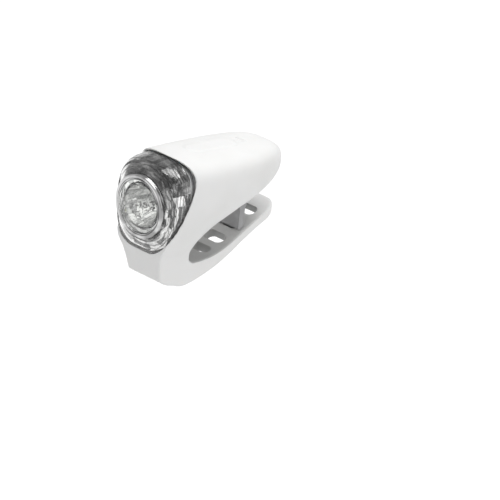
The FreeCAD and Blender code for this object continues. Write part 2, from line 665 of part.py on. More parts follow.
shell_outside = slab(body_solid(10.0, hard_inset), value("cover_back_y + skin_gap"), FAR * 2)
shell_outside = shell_outside.cut(under_saddle(hard_inset))
collar_inset = value("cover_wall + cover_fit")
collar = slab(cover_solid(collar_inset, value("cover_wall")), value("collar_front_y"), value("cover_back_y"))
collar_root = Part.Face(cover_sections(collar_inset + value("collar_step"), 0.0)[-1])
collar_end = collar_root.extrude(Vector(0, 4 * skin_gap, 0))
collar = collar.fuse(collar_end)
collar = collar.cut(under_saddle(hard_inset))
cavity = slab(body_solid(10.0, cavity_inset), value("cavity_front_y"), FAR * 2)
cavity = cavity.cut(under_saddle(cavity_inset))
chamber = cover_solid(collar_inset + value("collar_wall"), value("cover_wall"))
chamber = slab(chamber, -FAR, value("bulkhead_front_y"))
hull = shell_outside.fuse(collar)
shell = hull.cut(cavity).cut(chamber)

split = value("split_height")
seat_z = value("screw_seat")
bosses = [(side * value("boss_front_x"), value("boss_front_y")) for side in (-1, 1)]
bosses += [(side * value("boss_back_x"), value("boss_back_y")) for side in (-1, 1)]
for x, y in bosses:
    shell = shell.fuse(post(x, y, -FAR, split, value("boss_radius")).common(hull))
    shell = shell.fuse(post(x, y, split, FAR, value("boss_top_radius")).common(hull))

rib_top = -value("cell_drop + fit_gap")
for step in (0, 1):
    y0 = value("rib_front_y") + step * value("rib_spacing")
    half = value("cell_width") / 2 - 0.5
    shell = shell.fuse(cuboid(-half, half, y0, y0 + value("rib_thickness"), -FAR, rib_top).common(hull))

board_posts = [(side * value("board_post_x"), value("board_post_y")) for side in (-1, 1)]

screw_room = value("screw_radius + screw_gap")
head_room = value("screw_head_radius + screw_gap")
screw_end = seat_z - value("screw_length") - 0.2
for x, y in bosses:
    shell = shell.cut(post(x, y, screw_end, FAR, screw_room)).cut(post(x, y, seat_z, FAR, head_room))

board_top = value("board_bottom + board_thickness")
board_screw_end = value("board_bottom") - 4.2
hook_floor = -value("pad_drop") + hard_inset
hook_screw_x = value("hook_half_width") - 2.0
hook_screw_top = hook_floor + value("housing_wall")
hook_screw_end = hook_screw_top - 5.6
hook_front = value("hook_middle_y - hook_thickness / 2")
hook_root_y = hook_front + value("hook_root_thickness") / 2
hook_screws = [(side * hook_screw_x, hook_root_y) for side in (-1, 1)]
for x, y in hook_screws:
    shell = shell.cut(post(x, y, hook_floor - 1, hook_screw_top + 1, screw_room))

wire_z = value("board_bottom + board_thickness / 2")
lead_hole = along_y(0, value("bulkhead_front_y") - 1, value("cavity_front_y") + 1, wire_z,
                    value("wire_hole_radius"))
led_screw_end = value("bulkhead_front_y") + 2.0
led_board_front = value("bulkhead_front_y - led_board_thickness")
shell = shell.cut(lead_hole)
for side in (-1, 1):
    hole = along_y(side * value("led_screw_x"), value("bulkhead_front_y") - 1, led_screw_end + 0.2, 0,
                   screw_room)
    shell = shell.cut(hole)

nub_room = post(0, value("switch_y"), split, FAR, value("nub_radius + button_gap"))
window_room = cuboid(-value("window_length / 2 + fit_gap"), value("window_length / 2 + fit_gap"),
                     value("window_y - window_width / 2 - fit_gap"),
                     value("window_y + window_width / 2 + fit_gap"), split + 1, FAR)
port_room = on_belly(value("stem_half_width + plug_gap"), value("stem_back - plug_gap"),
                     stem_end + value("stem_swing_gap"), -7.0, 3.0)
shell = shell.cut(nub_room).cut(window_room).cut(port_room)

# Seals: a loop in the joint of the halves, and a ring on the collar

seal_inset = hard_inset + (value("housing_wall") - value("seal_thickness")) / 2
seal_front = value("cavity_front_y") - 1.2
seal_outside = slab(body_solid(10.0, seal_inset), seal_front, FAR * 2)
seal_inside = slab(body_solid(10.0, seal_inset + value("seal_thickness")),
                   seal_front + value("seal_thickness"), FAR * 2)
seal_layer = cuboid(-FAR, FAR, -FAR, 2 * FAR, split - value("seal_height") / 2,
                    split + value("seal_height") / 2)
housing_seal = seal_outside.cut(seal_inside).common(seal_layer)
cover_seal = slab(cover_solid(value("cover_wall") + 0.02, value("cover_wall")), value("cover_seal_y"),
                  value("cover_seal_y + cover_seal_width"))
cover_seal = cover_seal.cut(cover_solid(collar_inset + value("cover_seal_depth"), value("cover_wall")))
shell = shell.cut(housing_seal).cut(cover_seal)

lower_half = shell.common(cuboid(-FAR, FAR, -FAR, 2 * FAR, -FAR, split))
for x, y in board_posts:
    support = post(x, y, -FAR, value("board_bottom"), value("board_post_radius")).common(hull)
    lower_half = lower_half.fuse(support).cut(post(x, y, board_screw_end - 0.2, board_top, screw_room))
upper_half = shell.common(cuboid(-FAR, FAR, -FAR, 2 * FAR, split, FAR))
shaped("lower_housing", lower_half)
shaped("upper_housing", upper_half)
shaped("housing_seal", housing_seal)
shaped("cover_seal", cover_seal)

# Silicone skin with the leg

button_room = stadium(value("button_front_y - button_gap"), value("button_back_y + button_gap"),
                      value("button_half_width + button_gap"), 0, FAR)
flange_half = value("hook_flange_half_width + skin_gap")
flange_room = cuboid(-flange_half, flange_half, value("hook_middle_y - hook_flange_ahead - skin_gap"),
                     value("hook_middle_y + hook_flange_behind + skin_gap"),
                     hook_floor - value("hook_flange_thickness + skin_gap"), hook_floor + 1)
plate_room = cuboid(-value("hook_half_width + skin_gap"), value("hook_half_width + skin_gap"),
                    hook_front - skin_gap, hook_front + value("hook_root_thickness + skin_gap"),
                    -FAR, hook_floor)
flap_room = on_belly(value("plug_half_width + plug_gap"), 0.0, plug_length + value("plug_swing_gap"),
                     -5.0, 4.0)
back_room = Part.Face(cover_sections(-skin_gap, 0.0)[-1]).extrude(Vector(0, skin_gap, 0))
cover_room = cover_solid(-skin_gap).fuse(back_room)
hard_room = slab(body_solid(10.0, skin_wall), value("cover_back_y + skin_gap"), FAR * 2)
hard_room = hard_room.cut(under_saddle(skin_wall))

skin = body.fuse(leg()).cut(front_cut()).cut(under_saddle(0.0)).cut(heel(value("heel_radius + heel_gap")))
for room in (cover_room, hard_room, button_room, window_room, flange_room, plate_room, flap_room):
    skin = skin.cut(room)
shaped("silicone_sleeve", skin)
shaped("strap", strap_solid())

# Button pad with its nub

plunger_top = board_top + value("switch_height + plunger_height")
pad_form = body_solid(-1.0, -value("button_proud")).cut(body_solid(-1.0, value("button_depth")))
pad_plan = stadium(value("button_front_y"), value("button_back_y"), value("button_half_width"), 0, FAR)
nub = post(0, value("switch_y"), plunger_top + value("fit_gap"), crown(value("switch_y")),
           value("nub_radius"))
shaped("power_button", pad_form.common(pad_plan).fuse(nub))

# Port plug: cap that fills the skin's opening, and a stem that reaches into the housing

cap = on_belly(value("plug_half_width"), value("plug_gap"), plug_length,
               -(skin_wall - 3 * value("plug_gap")), 4.0).common(body)
stem = on_belly(value("stem_half_width"), value("stem_back"), stem_end, -value("stem_depth"), -1.0)
shaped("port_plug", cap.fuse(stem))

# Clear cover, window lens and bright ring

cover = cover_solid(0.0).cut(cover_solid(value("cover_wall"), value("cover_wall")))
cover = cover.cut(along_y(0, -FAR, FAR, 0, value("lens_radius + lens_gap")))
shaped("lens_cover", cover)

dome = doc.addObject("Part::Sphere", "dome_form")
dome.Placement = Placement(Vector(), Rotation(Vector(1, 0, 0), -90))
bind(dome, Radius="(lens_radius ^ 2 + lens_bulge ^ 2) / (2 * lens_bulge)")
seat(dome, "0",
     "cover_front_y - lens_rim - lens_bulge + (lens_radius ^ 2 + lens_bulge ^ 2) / (2 * lens_bulge)", "0")
barrel = rod("lens_barrel", "0", "cover_front_y - lens_rim - lens_bulge", "0", "lens_radius",
             "lens_bulge + lens_rim + cover_wall + lens_flange / 2", "Y")
front_form = doc.addObject("Part::MultiCommon", "lens_front")
front_form.Shapes = [dome, barrel]
flange = rod("lens_flange_disc", "0", "cover_front_y + cover_wall", "0", "lens_flange_radius",
             "lens_flange", "Y")
finish(fused("dome_lens", front_form, flange), "dome_lens")

ring = design("bezel_ring", "0", "0", "0")
ring_sketch = sketch_on(ring, "XY_Plane", "ring_section")
outline(ring_sketch, (("lens_radius + lens_gap", "cover_front_y"),
                      ("bezel_outer_radius", "cover_front_y"),
                      ("bezel_outer_radius", "cover_front_y - bezel_height * 0.4"),
                      ("bezel_outer_radius - 0.5", "cover_front_y - bezel_height"),
                      ("lens_radius + lens_gap + 0.5", "cover_front_y - bezel_height"),
                      ("lens_radius + lens_gap", "cover_front_y - bezel_height * 0.4")))
turned = ring.newObject("PartDesign::Revolution", "ring_turned")
turned.Profile = ring_sketch
turned.ReferenceAxis = (ring_sketch, ["V_Axis"])
turned.Angle = 360.0

# Reflector: bowl round the emitter, front plate, and the shroud that lines the cover

reflector_inset = value("cover_wall + reflector_gap")
shroud_form = cover_solid(reflector_inset, value("cover_wall"))
shroud_hole = cover_solid(reflector_inset + value("reflector_wall"), value("cover_wall"))
plate_back = value("reflector_front_y + reflector_wall")
shroud = slab(shroud_form, value("reflector_front_y"), value("shroud_back_y"))
shroud = shroud.cut(slab(shroud_hole, plate_back, FAR))
shroud = shroud.cut(along_y(0, -FAR, FAR, 0, value("bowl_mouth_radius")))
throat, mouth = value("bowl_throat_radius"), value("bowl_mouth_radius")
bowl_depth = value("bowl_back_y - reflector_front_y")


def bowl_line(extra):
    """Parabola of the bowl from mouth to throat, moved out by extra."""
    points = []
    for step in range(7):
        share = step / 6
        radius = math.sqrt(mouth ** 2 + (throat ** 2 - mouth ** 2) * share)
        points.append(Vector(radius + extra, value("reflector_front_y") + bowl_depth * share, 0))
    return points


inside, outside = bowl_line(0.0), bowl_line(value("reflector_wall"))
bowl_edges = [curve(inside).toShape(), Part.makeLine(inside[-1], outside[-1]), curve(outside).toShape(),
              Part.makeLine(outside[0], inside[0])]
bowl = Part.Face(Part.Wire(Part.__sortEdges__(bowl_edges))).revolve(Vector(), Vector(0, 1, 0), 360)
shaped("reflector", shroud.fuse(bowl))

# Emitter and its board

emitter_base = block("emitter_base_block", "-emitter_side / 2",
                     "bulkhead_front_y - led_board_thickness - emitter_base", "-emitter_side / 2",
                     "emitter_side", "emitter_base", "emitter_side")
emitter_dome = doc.addObject("Part::Sphere", "emitter_dome_ball")
bind(emitter_dome, Radius="emitter_dome")
seat(emitter_dome, "0", "bulkhead_front_y - led_board_thickness - emitter_base", "0")
dome_room = block("emitter_dome_room", "-5", "bulkhead_front_y - led_board_thickness - emitter_base", "-5",
                  "10", "10", "10")
front_dome = cut("emitter_front_dome", emitter_dome, dome_room)
finish(fused("led_emitter", emitter_base, front_dome), "led_emitter")

led_board = design("led_board", "0", "bulkhead_front_y", "0")
led_sketch = sketch_on(led_board, "XZ_Plane", "led_board_outline")
circle(led_sketch, "0", "led_board_radius")
circle(led_sketch, "led_screw_x", "screw_radius + screw_gap")
circle(led_sketch, "-led_screw_x", "screw_radius + screw_gap")
pad(led_board, led_sketch, "led_board_thickness", "led_board_plate")


def screw(point, direction, length):
    """Cheese-head screw with its seat at a point; the shank runs along direction."""
    shank = Part.makeCylinder(value("screw_radius"), length, point, direction)
    head = Part.makeCylinder(value("screw_head_radius"), value("screw_head_height"), point, direction * -1)
    width = 2 * value("screw_head_radius")
    cross = [Part.makeBox(width, 0.4, 0.5), Part.makeBox(0.4, width, 0.5)]
    turn = Rotation(Vector(0, 0, 1), direction * -1)
    for bar in cross:
        middle = Vector(bar.BoundBox.XLength / 2, bar.BoundBox.YLength / 2, 0.5 - value("screw_head_height"))
        bar.translate(middle * -1)
        bar.Placement = Placement(point, turn).multiply(bar.Placement)
        head = head.cut(bar)
    return head.fuse(shank).removeSplitter()


def screws(label, points, direction, length):
    """Like screws as one sub-part."""
    shaped(label, Part.makeCompound([screw(point, direction, length) for point in points]))


down = Vector(0, 0, -1)
screws("housing_screws", [Vector(x, y, seat_z) for x, y in bosses], down, value("screw_length"))
screws("board_screws", [Vector(x, y, board_top) for x, y in board_posts], down,
       board_top - board_screw_end)
screws("hook_screws", [Vector(x, y, hook_screw_top) for x, y in hook_screws], down,
       hook_screw_top - hook_screw_end)
screws("led_board_screws", [Vector(side * value("led_screw_x"), led_board_front, 0) for side in (-1, 1)],
       Vector(0, 1, 0), led_screw_end - led_board_front)

lead_ends = (value("bulkhead_front_y"), value("board_front_y"))
led_lead_x = value("led_lead_x")
led_leads = [along_y(x, *lead_ends, wire_z, value("wire_radius")) for x in (-led_lead_x, led_lead_x)]
shaped("led_leads", Part.makeCompound(led_leads))

# Main board and what is on it

main_board = design("main_board", "0", "0", "board_bottom")
board_sketch = sketch_on(main_board, "XY_Plane", "board_outline")
outline(board_sketch, (("-board_half_width", "board_front_y"), ("board_half_width", "board_front_y"),
                       ("board_half_width", "board_step_y"), ("board_tail_half_width", "board_step_y"),
                       ("board_tail_half_width", "board_back_y"), ("-board_tail_half_width", "board_back_y"),
                       ("-board_tail_half_width", "board_step_y"), ("-board_half_width", "board_step_y")))
pad(main_board, board_sketch, "board_thickness", "board_plate")
hole_sketch = sketch_on(main_board, "XY_Plane", "board_holes")
for side in ("", "-"):
    place = Vector(value(side + "board_post_x"), value("board_post_y"), 0)
    circle = Part.Circle(place, Vector(0, 0, 1), value("screw_radius + screw_gap"))
    index = hole_sketch.addGeometry(circle)
    for kind, formula in (("DistanceX", side + "board_post_x"), ("DistanceY", "board_post_y")):
        place = hole_sketch.addConstraint(Sketcher.Constraint(kind, -1, 1, index, 3, value(formula)))
        hole_sketch.setExpression("Constraints[%d]" % place, named(formula))
    size = hole_sketch.addConstraint(Sketcher.Constraint("Radius", index, value("screw_radius + screw_gap")))
    hole_sketch.setExpression("Constraints[%d]" % size, named("screw_radius + screw_gap"))
doc.recompute()
pocket(main_board, hole_sketch, "board_screw_holes", "board_thickness", reverse=True)

TOP = "board_bottom + board_thickness"
switch_body = design("switch_body", "-switch_side / 2", "switch_y - switch_side / 2", TOP)
switch_sketch = sketch_on(switch_body, "XY_Plane", "switch_outline")
outline(switch_sketch, (("0", "0"), ("switch_side", "0"), ("switch_side", "switch_side"),
                        ("0", "switch_side")))
pad(switch_body, switch_sketch, "switch_height", "switch_block")
well_sketch = sketch_on(switch_body, "XY_Plane", "plunger_well")
well = well_sketch.addGeometry(Part.Circle(Vector(value("switch_side / 2"), value("switch_side / 2"), 0),
                                           Vector(0, 0, 1), value("plunger_radius + plunger_gap")))
for kind in ("DistanceX", "DistanceY"):
    place = well_sketch.addConstraint(Sketcher.Constraint(kind, -1, 1, well, 3, value("switch_side / 2")))
    well_sketch.setExpression("Constraints[%d]" % place, named("switch_side / 2"))
size = well_sketch.addConstraint(Sketcher.Constraint("Radius", well, value("plunger_radius + plunger_gap")))
well_sketch.setExpression("Constraints[%d]" % size, named("plunger_radius + plunger_gap"))
well_sketch.AttachmentOffset = Placement(Vector(0, 0, 1), Rotation())
well_sketch.setExpression("AttachmentOffset.Base.z", named("switch_height - plunger_travel - 1"))
doc.recompute()
pocket(switch_body, well_sketch, "switch_well", "plunger_travel + 2", reverse=True)

plunger = rod("switch_plunger", "0", "switch_y", TOP + " + switch_height - 0.5", "plunger_radius",
              "plunger_height + 0.5")
finish(plunger, "switch_plunger")

status_led = block("status_led", "-0.8", "window_y - 0.4", TOP, "1.6", "0.8", "status_led_height")
finish(status_led, "status_led")
bar = cuboid(-value("window_length") / 2, value("window_length") / 2,
             value("window_y - window_width / 2"), value("window_y + window_width / 2"),
             board_top + value("status_led_height") + 0.3, FAR)
shaped("charge_window", bar.common(body_solid(-1.0, -0.1)))

charge_chip = block("charge_chip", "2", "switch_y + 5.1", TOP, "4", "5", "1.5")
finish(charge_chip, "charge_chip")
driver_chip = block("driver_chip", "-7.3", "board_front_y + 3.4", TOP, "3.9", "4.9", "1.5")
finish(driver_chip, "driver_chip")
coil = rod("inductor_can", "5.6", "board_front_y + 4.6", TOP, "2.4", "2.2")
coil_foot = block("inductor_foot", "3.4", "board_front_y + 2.4", TOP, "4.4", "4.4", "0.5")
finish(fused("inductor", coil, coil_foot), "inductor")
capacitor_front = value("switch_y") + 5.9
capacitor_places = [(x, capacitor_front + ahead) for x in (-5.6, -3.2) for ahead in (0.0, 3.2)]
shaped("capacitors", Part.makeCompound([cuboid(x, x + 1.2, y, y + 2.0, board_top, board_top + 1.0)
                                        for x, y in capacitor_places]))

usb_socket = design("usb_socket", "-socket_width / 2", "socket_y - socket_depth / 2",
                    "board_bottom - socket_height")
usb_sketch = sketch_on(usb_socket, "XY_Plane", "socket_outline")
outline(usb_sketch, (("0", "0"), ("socket_width", "0"), ("socket_width", "socket_depth * 0.55"),
                     ("socket_width - 0.8", "socket_depth"), ("0.8", "socket_depth"),
                     ("0", "socket_depth * 0.55")))
pad(usb_socket, usb_sketch, "socket_height", "socket_shell")
mouth_sketch = sketch_on(usb_socket, "XY_Plane", "socket_mouth")
outline(mouth_sketch, (("socket_wall", "socket_wall"), ("socket_width - socket_wall", "socket_wall"),
                       ("socket_width - socket_wall", "socket_depth * 0.5"),
                       ("socket_width - 1 - socket_wall", "socket_depth - socket_wall"),
                       ("1 + socket_wall", "socket_depth - socket_wall"),
                       ("socket_wall", "socket_depth * 0.5")))
outline(mouth_sketch, (("1.8", "0.95"), ("socket_width - 1.8", "0.95"), ("socket_width - 1.8", "1.55"),
                       ("1.8", "1.55")))
doc.recompute()
pocket(usb_socket, mouth_sketch, "socket_opening", "socket_height * 0.8", reverse=True)

# Cell, foam and protection board

battery = design("battery_cell", "-cell_width / 2", "cell_front_y", "-cell_drop")
cell_sketch = sketch_on(battery, "XY_Plane", "cell_outline")
outline(cell_sketch, (("0", "0"), ("cell_width", "0"), ("cell_width", "cell_length"), ("0", "cell_length")))
cell_pad = pad(battery, cell_sketch, "cell_thickness", "cell_block")
doc.recompute()
long_edges = ["Edge%d" % number for number, edge in enumerate(cell_pad.Shape.Edges, start=1)
              if abs(edge.tangentAt(edge.FirstParameter).y) > 0.99]
rounding = battery.newObject("PartDesign::Fillet", "cell_rounding")
rounding.Base = (cell_pad, long_edges)
bind(rounding, Radius="cell_corner")

foam = block("foam_pad", "-board_half_width + 0.6", "cell_front_y + 1.5",
             "cell_thickness - cell_drop + fit_gap", "2 * board_half_width - 1.2", "cell_length - 3",
             "foam_thickness")
finish(foam, "foam_pad")
cell_board = block("cell_board", "-cell_width / 2 + 1", "cell_front_y + cell_length + fit_gap", "-1.4",
                   "cell_width - 2", "cell_board_thickness", "5.4")
finish(cell_board, "cell_board")


def bent_wire(x, y, z, run, rise, bend, radius):
    """Round wire that leaves backwards from a point, then turns up."""
    corner = Vector(x, y + run, z)
    arc_start, arc_end = corner - Vector(0, bend, 0), corner + Vector(0, 0, bend)
    centre = corner + Vector(0, -bend, bend)
    arc_middle = centre + Vector(0, math.sqrt(0.5), -math.sqrt(0.5)) * bend
    path = Part.Wire([Part.makeLine(Vector(x, y, z), arc_start),
                      Part.Arc(arc_start, arc_middle, arc_end).toShape(),
                      Part.makeLine(arc_end, Vector(x, y + run, z + rise))])
    ring_wire = Part.Wire(Part.makeCircle(radius, Vector(x, y, z), Vector(0, 1, 0)))
    return path.makePipeShell([ring_wire], True, False)


cell_board_back = value("cell_front_y + cell_length + fit_gap + cell_board_thickness")
lead_start_z = 1.2
shaped("battery_leads", Part.makeCompound([
    bent_wire(side * 2.6, cell_board_back, lead_start_z, 2.4, value("board_bottom") - lead_start_z, 1.4,
              value("wire_radius")) for side in (-1, 1)]))

# Hook: flange under the housing, plate, neck through the strap, and foot

neck_front = value("hook_middle_y - hook_neck_thickness / 2")
neck_back = value("hook_middle_y + hook_neck_thickness / 2")
flange_bottom = hook_floor - value("hook_flange_thickness")
foot_top = -value("hook_foot_top_drop")
foot_bottom = foot_top - value("hook_foot_height")
hook = cuboid(-value("hook_flange_half_width"), value("hook_flange_half_width"),
              value("hook_middle_y - hook_flange_ahead"), value("hook_middle_y + hook_flange_behind"),
              flange_bottom, hook_floor)
hook = hook.fuse(cuboid(-value("hook_half_width"), value("hook_half_width"), hook_front,
                        hook_front + value("hook_root_thickness"), -value("hook_root_drop"), flange_bottom))
hook = hook.fuse(cuboid(-value("hook_half_width"), value("hook_half_width"), hook_front,
                        hook_front + value("hook_thickness"), -value("hook_plate_drop"),
                        -value("hook_root_drop")))
shoulder_top = -value("pad_drop + skin_gap")
shoulder_front = hook_front - value("hook_shoulder_ahead")
shoulder_back = hook_front + value("hook_shoulder_overlap")
hook = hook.fuse(prism(((shoulder_front, shoulder_top), (shoulder_front, -value("hook_shoulder_drop")),
                        (shoulder_back, -value("hook_shoulder_back_drop")), (shoulder_back, shoulder_top)),
                       value("hook_shoulder_half_width")))
hook = hook.fuse(cuboid(-value("hook_neck_half_width"), value("hook_neck_half_width"), neck_front, neck_back,
                        foot_top, -value("hook_plate_drop")))
foot = prism(((neck_front, foot_top), (neck_back, foot_top), (neck_back + value("hook_lip"), foot_top - 0.5),
              (neck_back + value("hook_lip") * 0.6, foot_bottom), (neck_front + 0.5, foot_bottom)),
             value("hook_foot_half_width"))
hook = hook.fuse(foot)
for x, y in hook_screws:
    hook = hook.cut(post(x, y, hook_screw_end - 0.2, hook_floor + 1, screw_room))
shaped("hook", hook)

doc.recompute()
for thing in doc.Objects:
    if "Invalid" in thing.State or "Error" in thing.State:
        raise RuntimeError("%s failed: %s" % (thing.Label, thing.State))
for thing in finished:
    if thing.Shape.isNull() or not thing.Shape.isValid() or not thing.Shape.Solids:
        raise RuntimeError("%s has no valid solid" % thing.Label)

os.makedirs("parts", exist_ok=True)
for thing in finished:
    thing.Shape.exportStep("parts/%s.step" % thing.Label)
    print("%-18s %d solid(s) %9.1f mm3" % (thing.Label, len(thing.Shape.Solids), thing.Shape.Volume))
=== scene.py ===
"""Looks of a strap-on bicycle headlight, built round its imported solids.

Shapes are worked out in lens coordinates, in millimetres: x to the rider's left, y backwards from
the plane of the round window and z up from its centre. Meshes are written in the row frame, in
metres.
"""

import logging
import math
from dataclasses import dataclass
from enum import Enum
from typing import Callable, Optional, Sequence, Union

import bpy
import numpy as np
from mathutils import Matrix, Vector


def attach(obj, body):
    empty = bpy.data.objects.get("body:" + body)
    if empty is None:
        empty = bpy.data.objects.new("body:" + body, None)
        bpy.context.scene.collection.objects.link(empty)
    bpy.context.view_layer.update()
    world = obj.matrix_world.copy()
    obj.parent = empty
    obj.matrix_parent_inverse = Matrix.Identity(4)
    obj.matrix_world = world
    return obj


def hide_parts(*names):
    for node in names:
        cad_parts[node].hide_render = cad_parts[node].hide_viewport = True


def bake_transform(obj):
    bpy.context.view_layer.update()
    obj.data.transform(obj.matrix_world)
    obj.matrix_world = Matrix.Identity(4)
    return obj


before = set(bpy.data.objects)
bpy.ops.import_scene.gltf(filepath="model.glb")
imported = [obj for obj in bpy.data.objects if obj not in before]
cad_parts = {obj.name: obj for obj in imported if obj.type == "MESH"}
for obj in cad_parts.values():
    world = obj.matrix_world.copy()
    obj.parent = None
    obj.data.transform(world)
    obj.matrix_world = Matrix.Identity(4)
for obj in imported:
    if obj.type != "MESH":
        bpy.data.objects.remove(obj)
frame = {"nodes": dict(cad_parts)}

LOG = logging.getLogger("headlight")
LENS_ORIGIN = np.array([0.0, -30.5, 17.3])
MM = 0.001
PER_METRE = 1000.0
TURN = 2 * math.pi
WHITE = (1.0, 1.0, 1.0, 1.0)
Array = np.ndarray
Material = bpy.types.Material
Object = bpy.types.Object
Sizes = Union[float, Array]
Field = Callable[[Array, Array, Array], Array]


# Shader maths

class Wire:
    """A shader socket that can be used in Python expressions."""

    def __init__(self, nodes: "Nodes", socket: bpy.types.NodeSocket) -> None:
        """Keep the socket and the tree it belongs to."""
        self.nodes = nodes
        self.socket = socket

    def _math(self, operation: str, *values: "Value") -> "Wire":
        """Add a Math node on these values."""
        settings = {"operation": operation}
        return self.nodes.node("ShaderNodeMath", settings, dict(enumerate(values))).out("Value")

    def __add__(self, other: "Value") -> "Wire":
        """Sum."""
        return self._math("ADD", self, other)

    def __radd__(self, other: "Value") -> "Wire":
        """Sum, reflected."""
        return self._math("ADD", other, self)

    def __sub__(self, other: "Value") -> "Wire":
        """Difference."""
        return self._math("SUBTRACT", self, other)

    def __rsub__(self, other: "Value") -> "Wire":
        """Difference, reflected."""
        return self._math("SUBTRACT", other, self)

    def __mul__(self, other: "Value") -> "Wire":
        """Product."""
        return self._math("MULTIPLY", self, other)

    def __rmul__(self, other: "Value") -> "Wire":
        """Product, reflected."""
        return self._math("MULTIPLY", other, self)

    def __gt__(self, other: "Value") -> "Wire":
        """1 where this is greater, else 0."""
        return self._math("GREATER_THAN", self, other)

    def abs(self) -> "Wire":
        """Absolute value."""
        return self._math("ABSOLUTE", self)

    def sine(self) -> "Wire":
        """Sine."""
        return self._math("SINE", self)

    def root(self) -> "Wire":
        """Square root."""
        return self._math("SQRT", self)

    def angle_from(self, across: "Wire") -> "Wire":
        """Angle of the point (across, this) about zero, in radians."""
        return self._math("ARCTAN2", self, across)

    def ramp(self, low: float, high: float, start: float = 0.0, end: float = 1.0) -> "Wire":
        """Smooth step, share * share * (3 - 2 * share), as this goes from low to high.

        Args:
            low: where the step begins.
            high: where it is complete; less than low for a falling step.
            start: result at low and before.
            end: result at high and after.

        Returns:
            The stepped value.
        """
        settings = {"interpolation_type": "SMOOTHSTEP"}
        values = {"Value": self, "From Min": low, "From Max": high, "To Min": start, "To Max": end}
        return self.nodes.node("ShaderNodeMapRange", settings, values).out("Result")


Value = Union[Wire, float, int, Sequence[float]]


def rgba(colour: Value) -> Value:
    """A constant colour with an alpha of 1, and a wire as it is."""
    return colour if isinstance(colour, Wire) else tuple(colour) + (1.0,) * (4 - len(colour))


class NodeHandle:
    """A shader node whose outputs are taken as wires."""

    def __init__(self, nodes: "Nodes", node: bpy.types.Node) -> None:
        """Keep the node and its tree."""
        self.nodes = nodes
        self.node = node

    def out(self, name: Union[str, int]) -> Wire:
        """One of the node's outputs, by name or number."""
        return Wire(self.nodes, self.node.outputs[name])


class Nodes:
    """A node tree while it is being built."""

    def __init__(self, tree: bpy.types.NodeTree) -> None:
        """Start with the tree empty."""
        self.tree = tree
        self.tree.nodes.clear()

    def node(self, kind: str, settings: Optional[dict] = None,
             values: Optional[dict] = None) -> NodeHandle:
        """Add a node.

        Args:
            kind: the node's type.
            settings: its own properties, set first.
            values: input socket name or number to a constant or a wire.

        Returns:
            The node, for its outputs.
        """
        made = self.tree.nodes.new(kind)
        for key, setting in (settings or {}).items():
            setattr(made, key, setting)
        for key, amount in (values or {}).items():
            if isinstance(amount, Wire):
                self.tree.links.new(amount.socket, made.inputs[key])
            else:
                made.inputs[key].default_value = amount
        return NodeHandle(self, made)


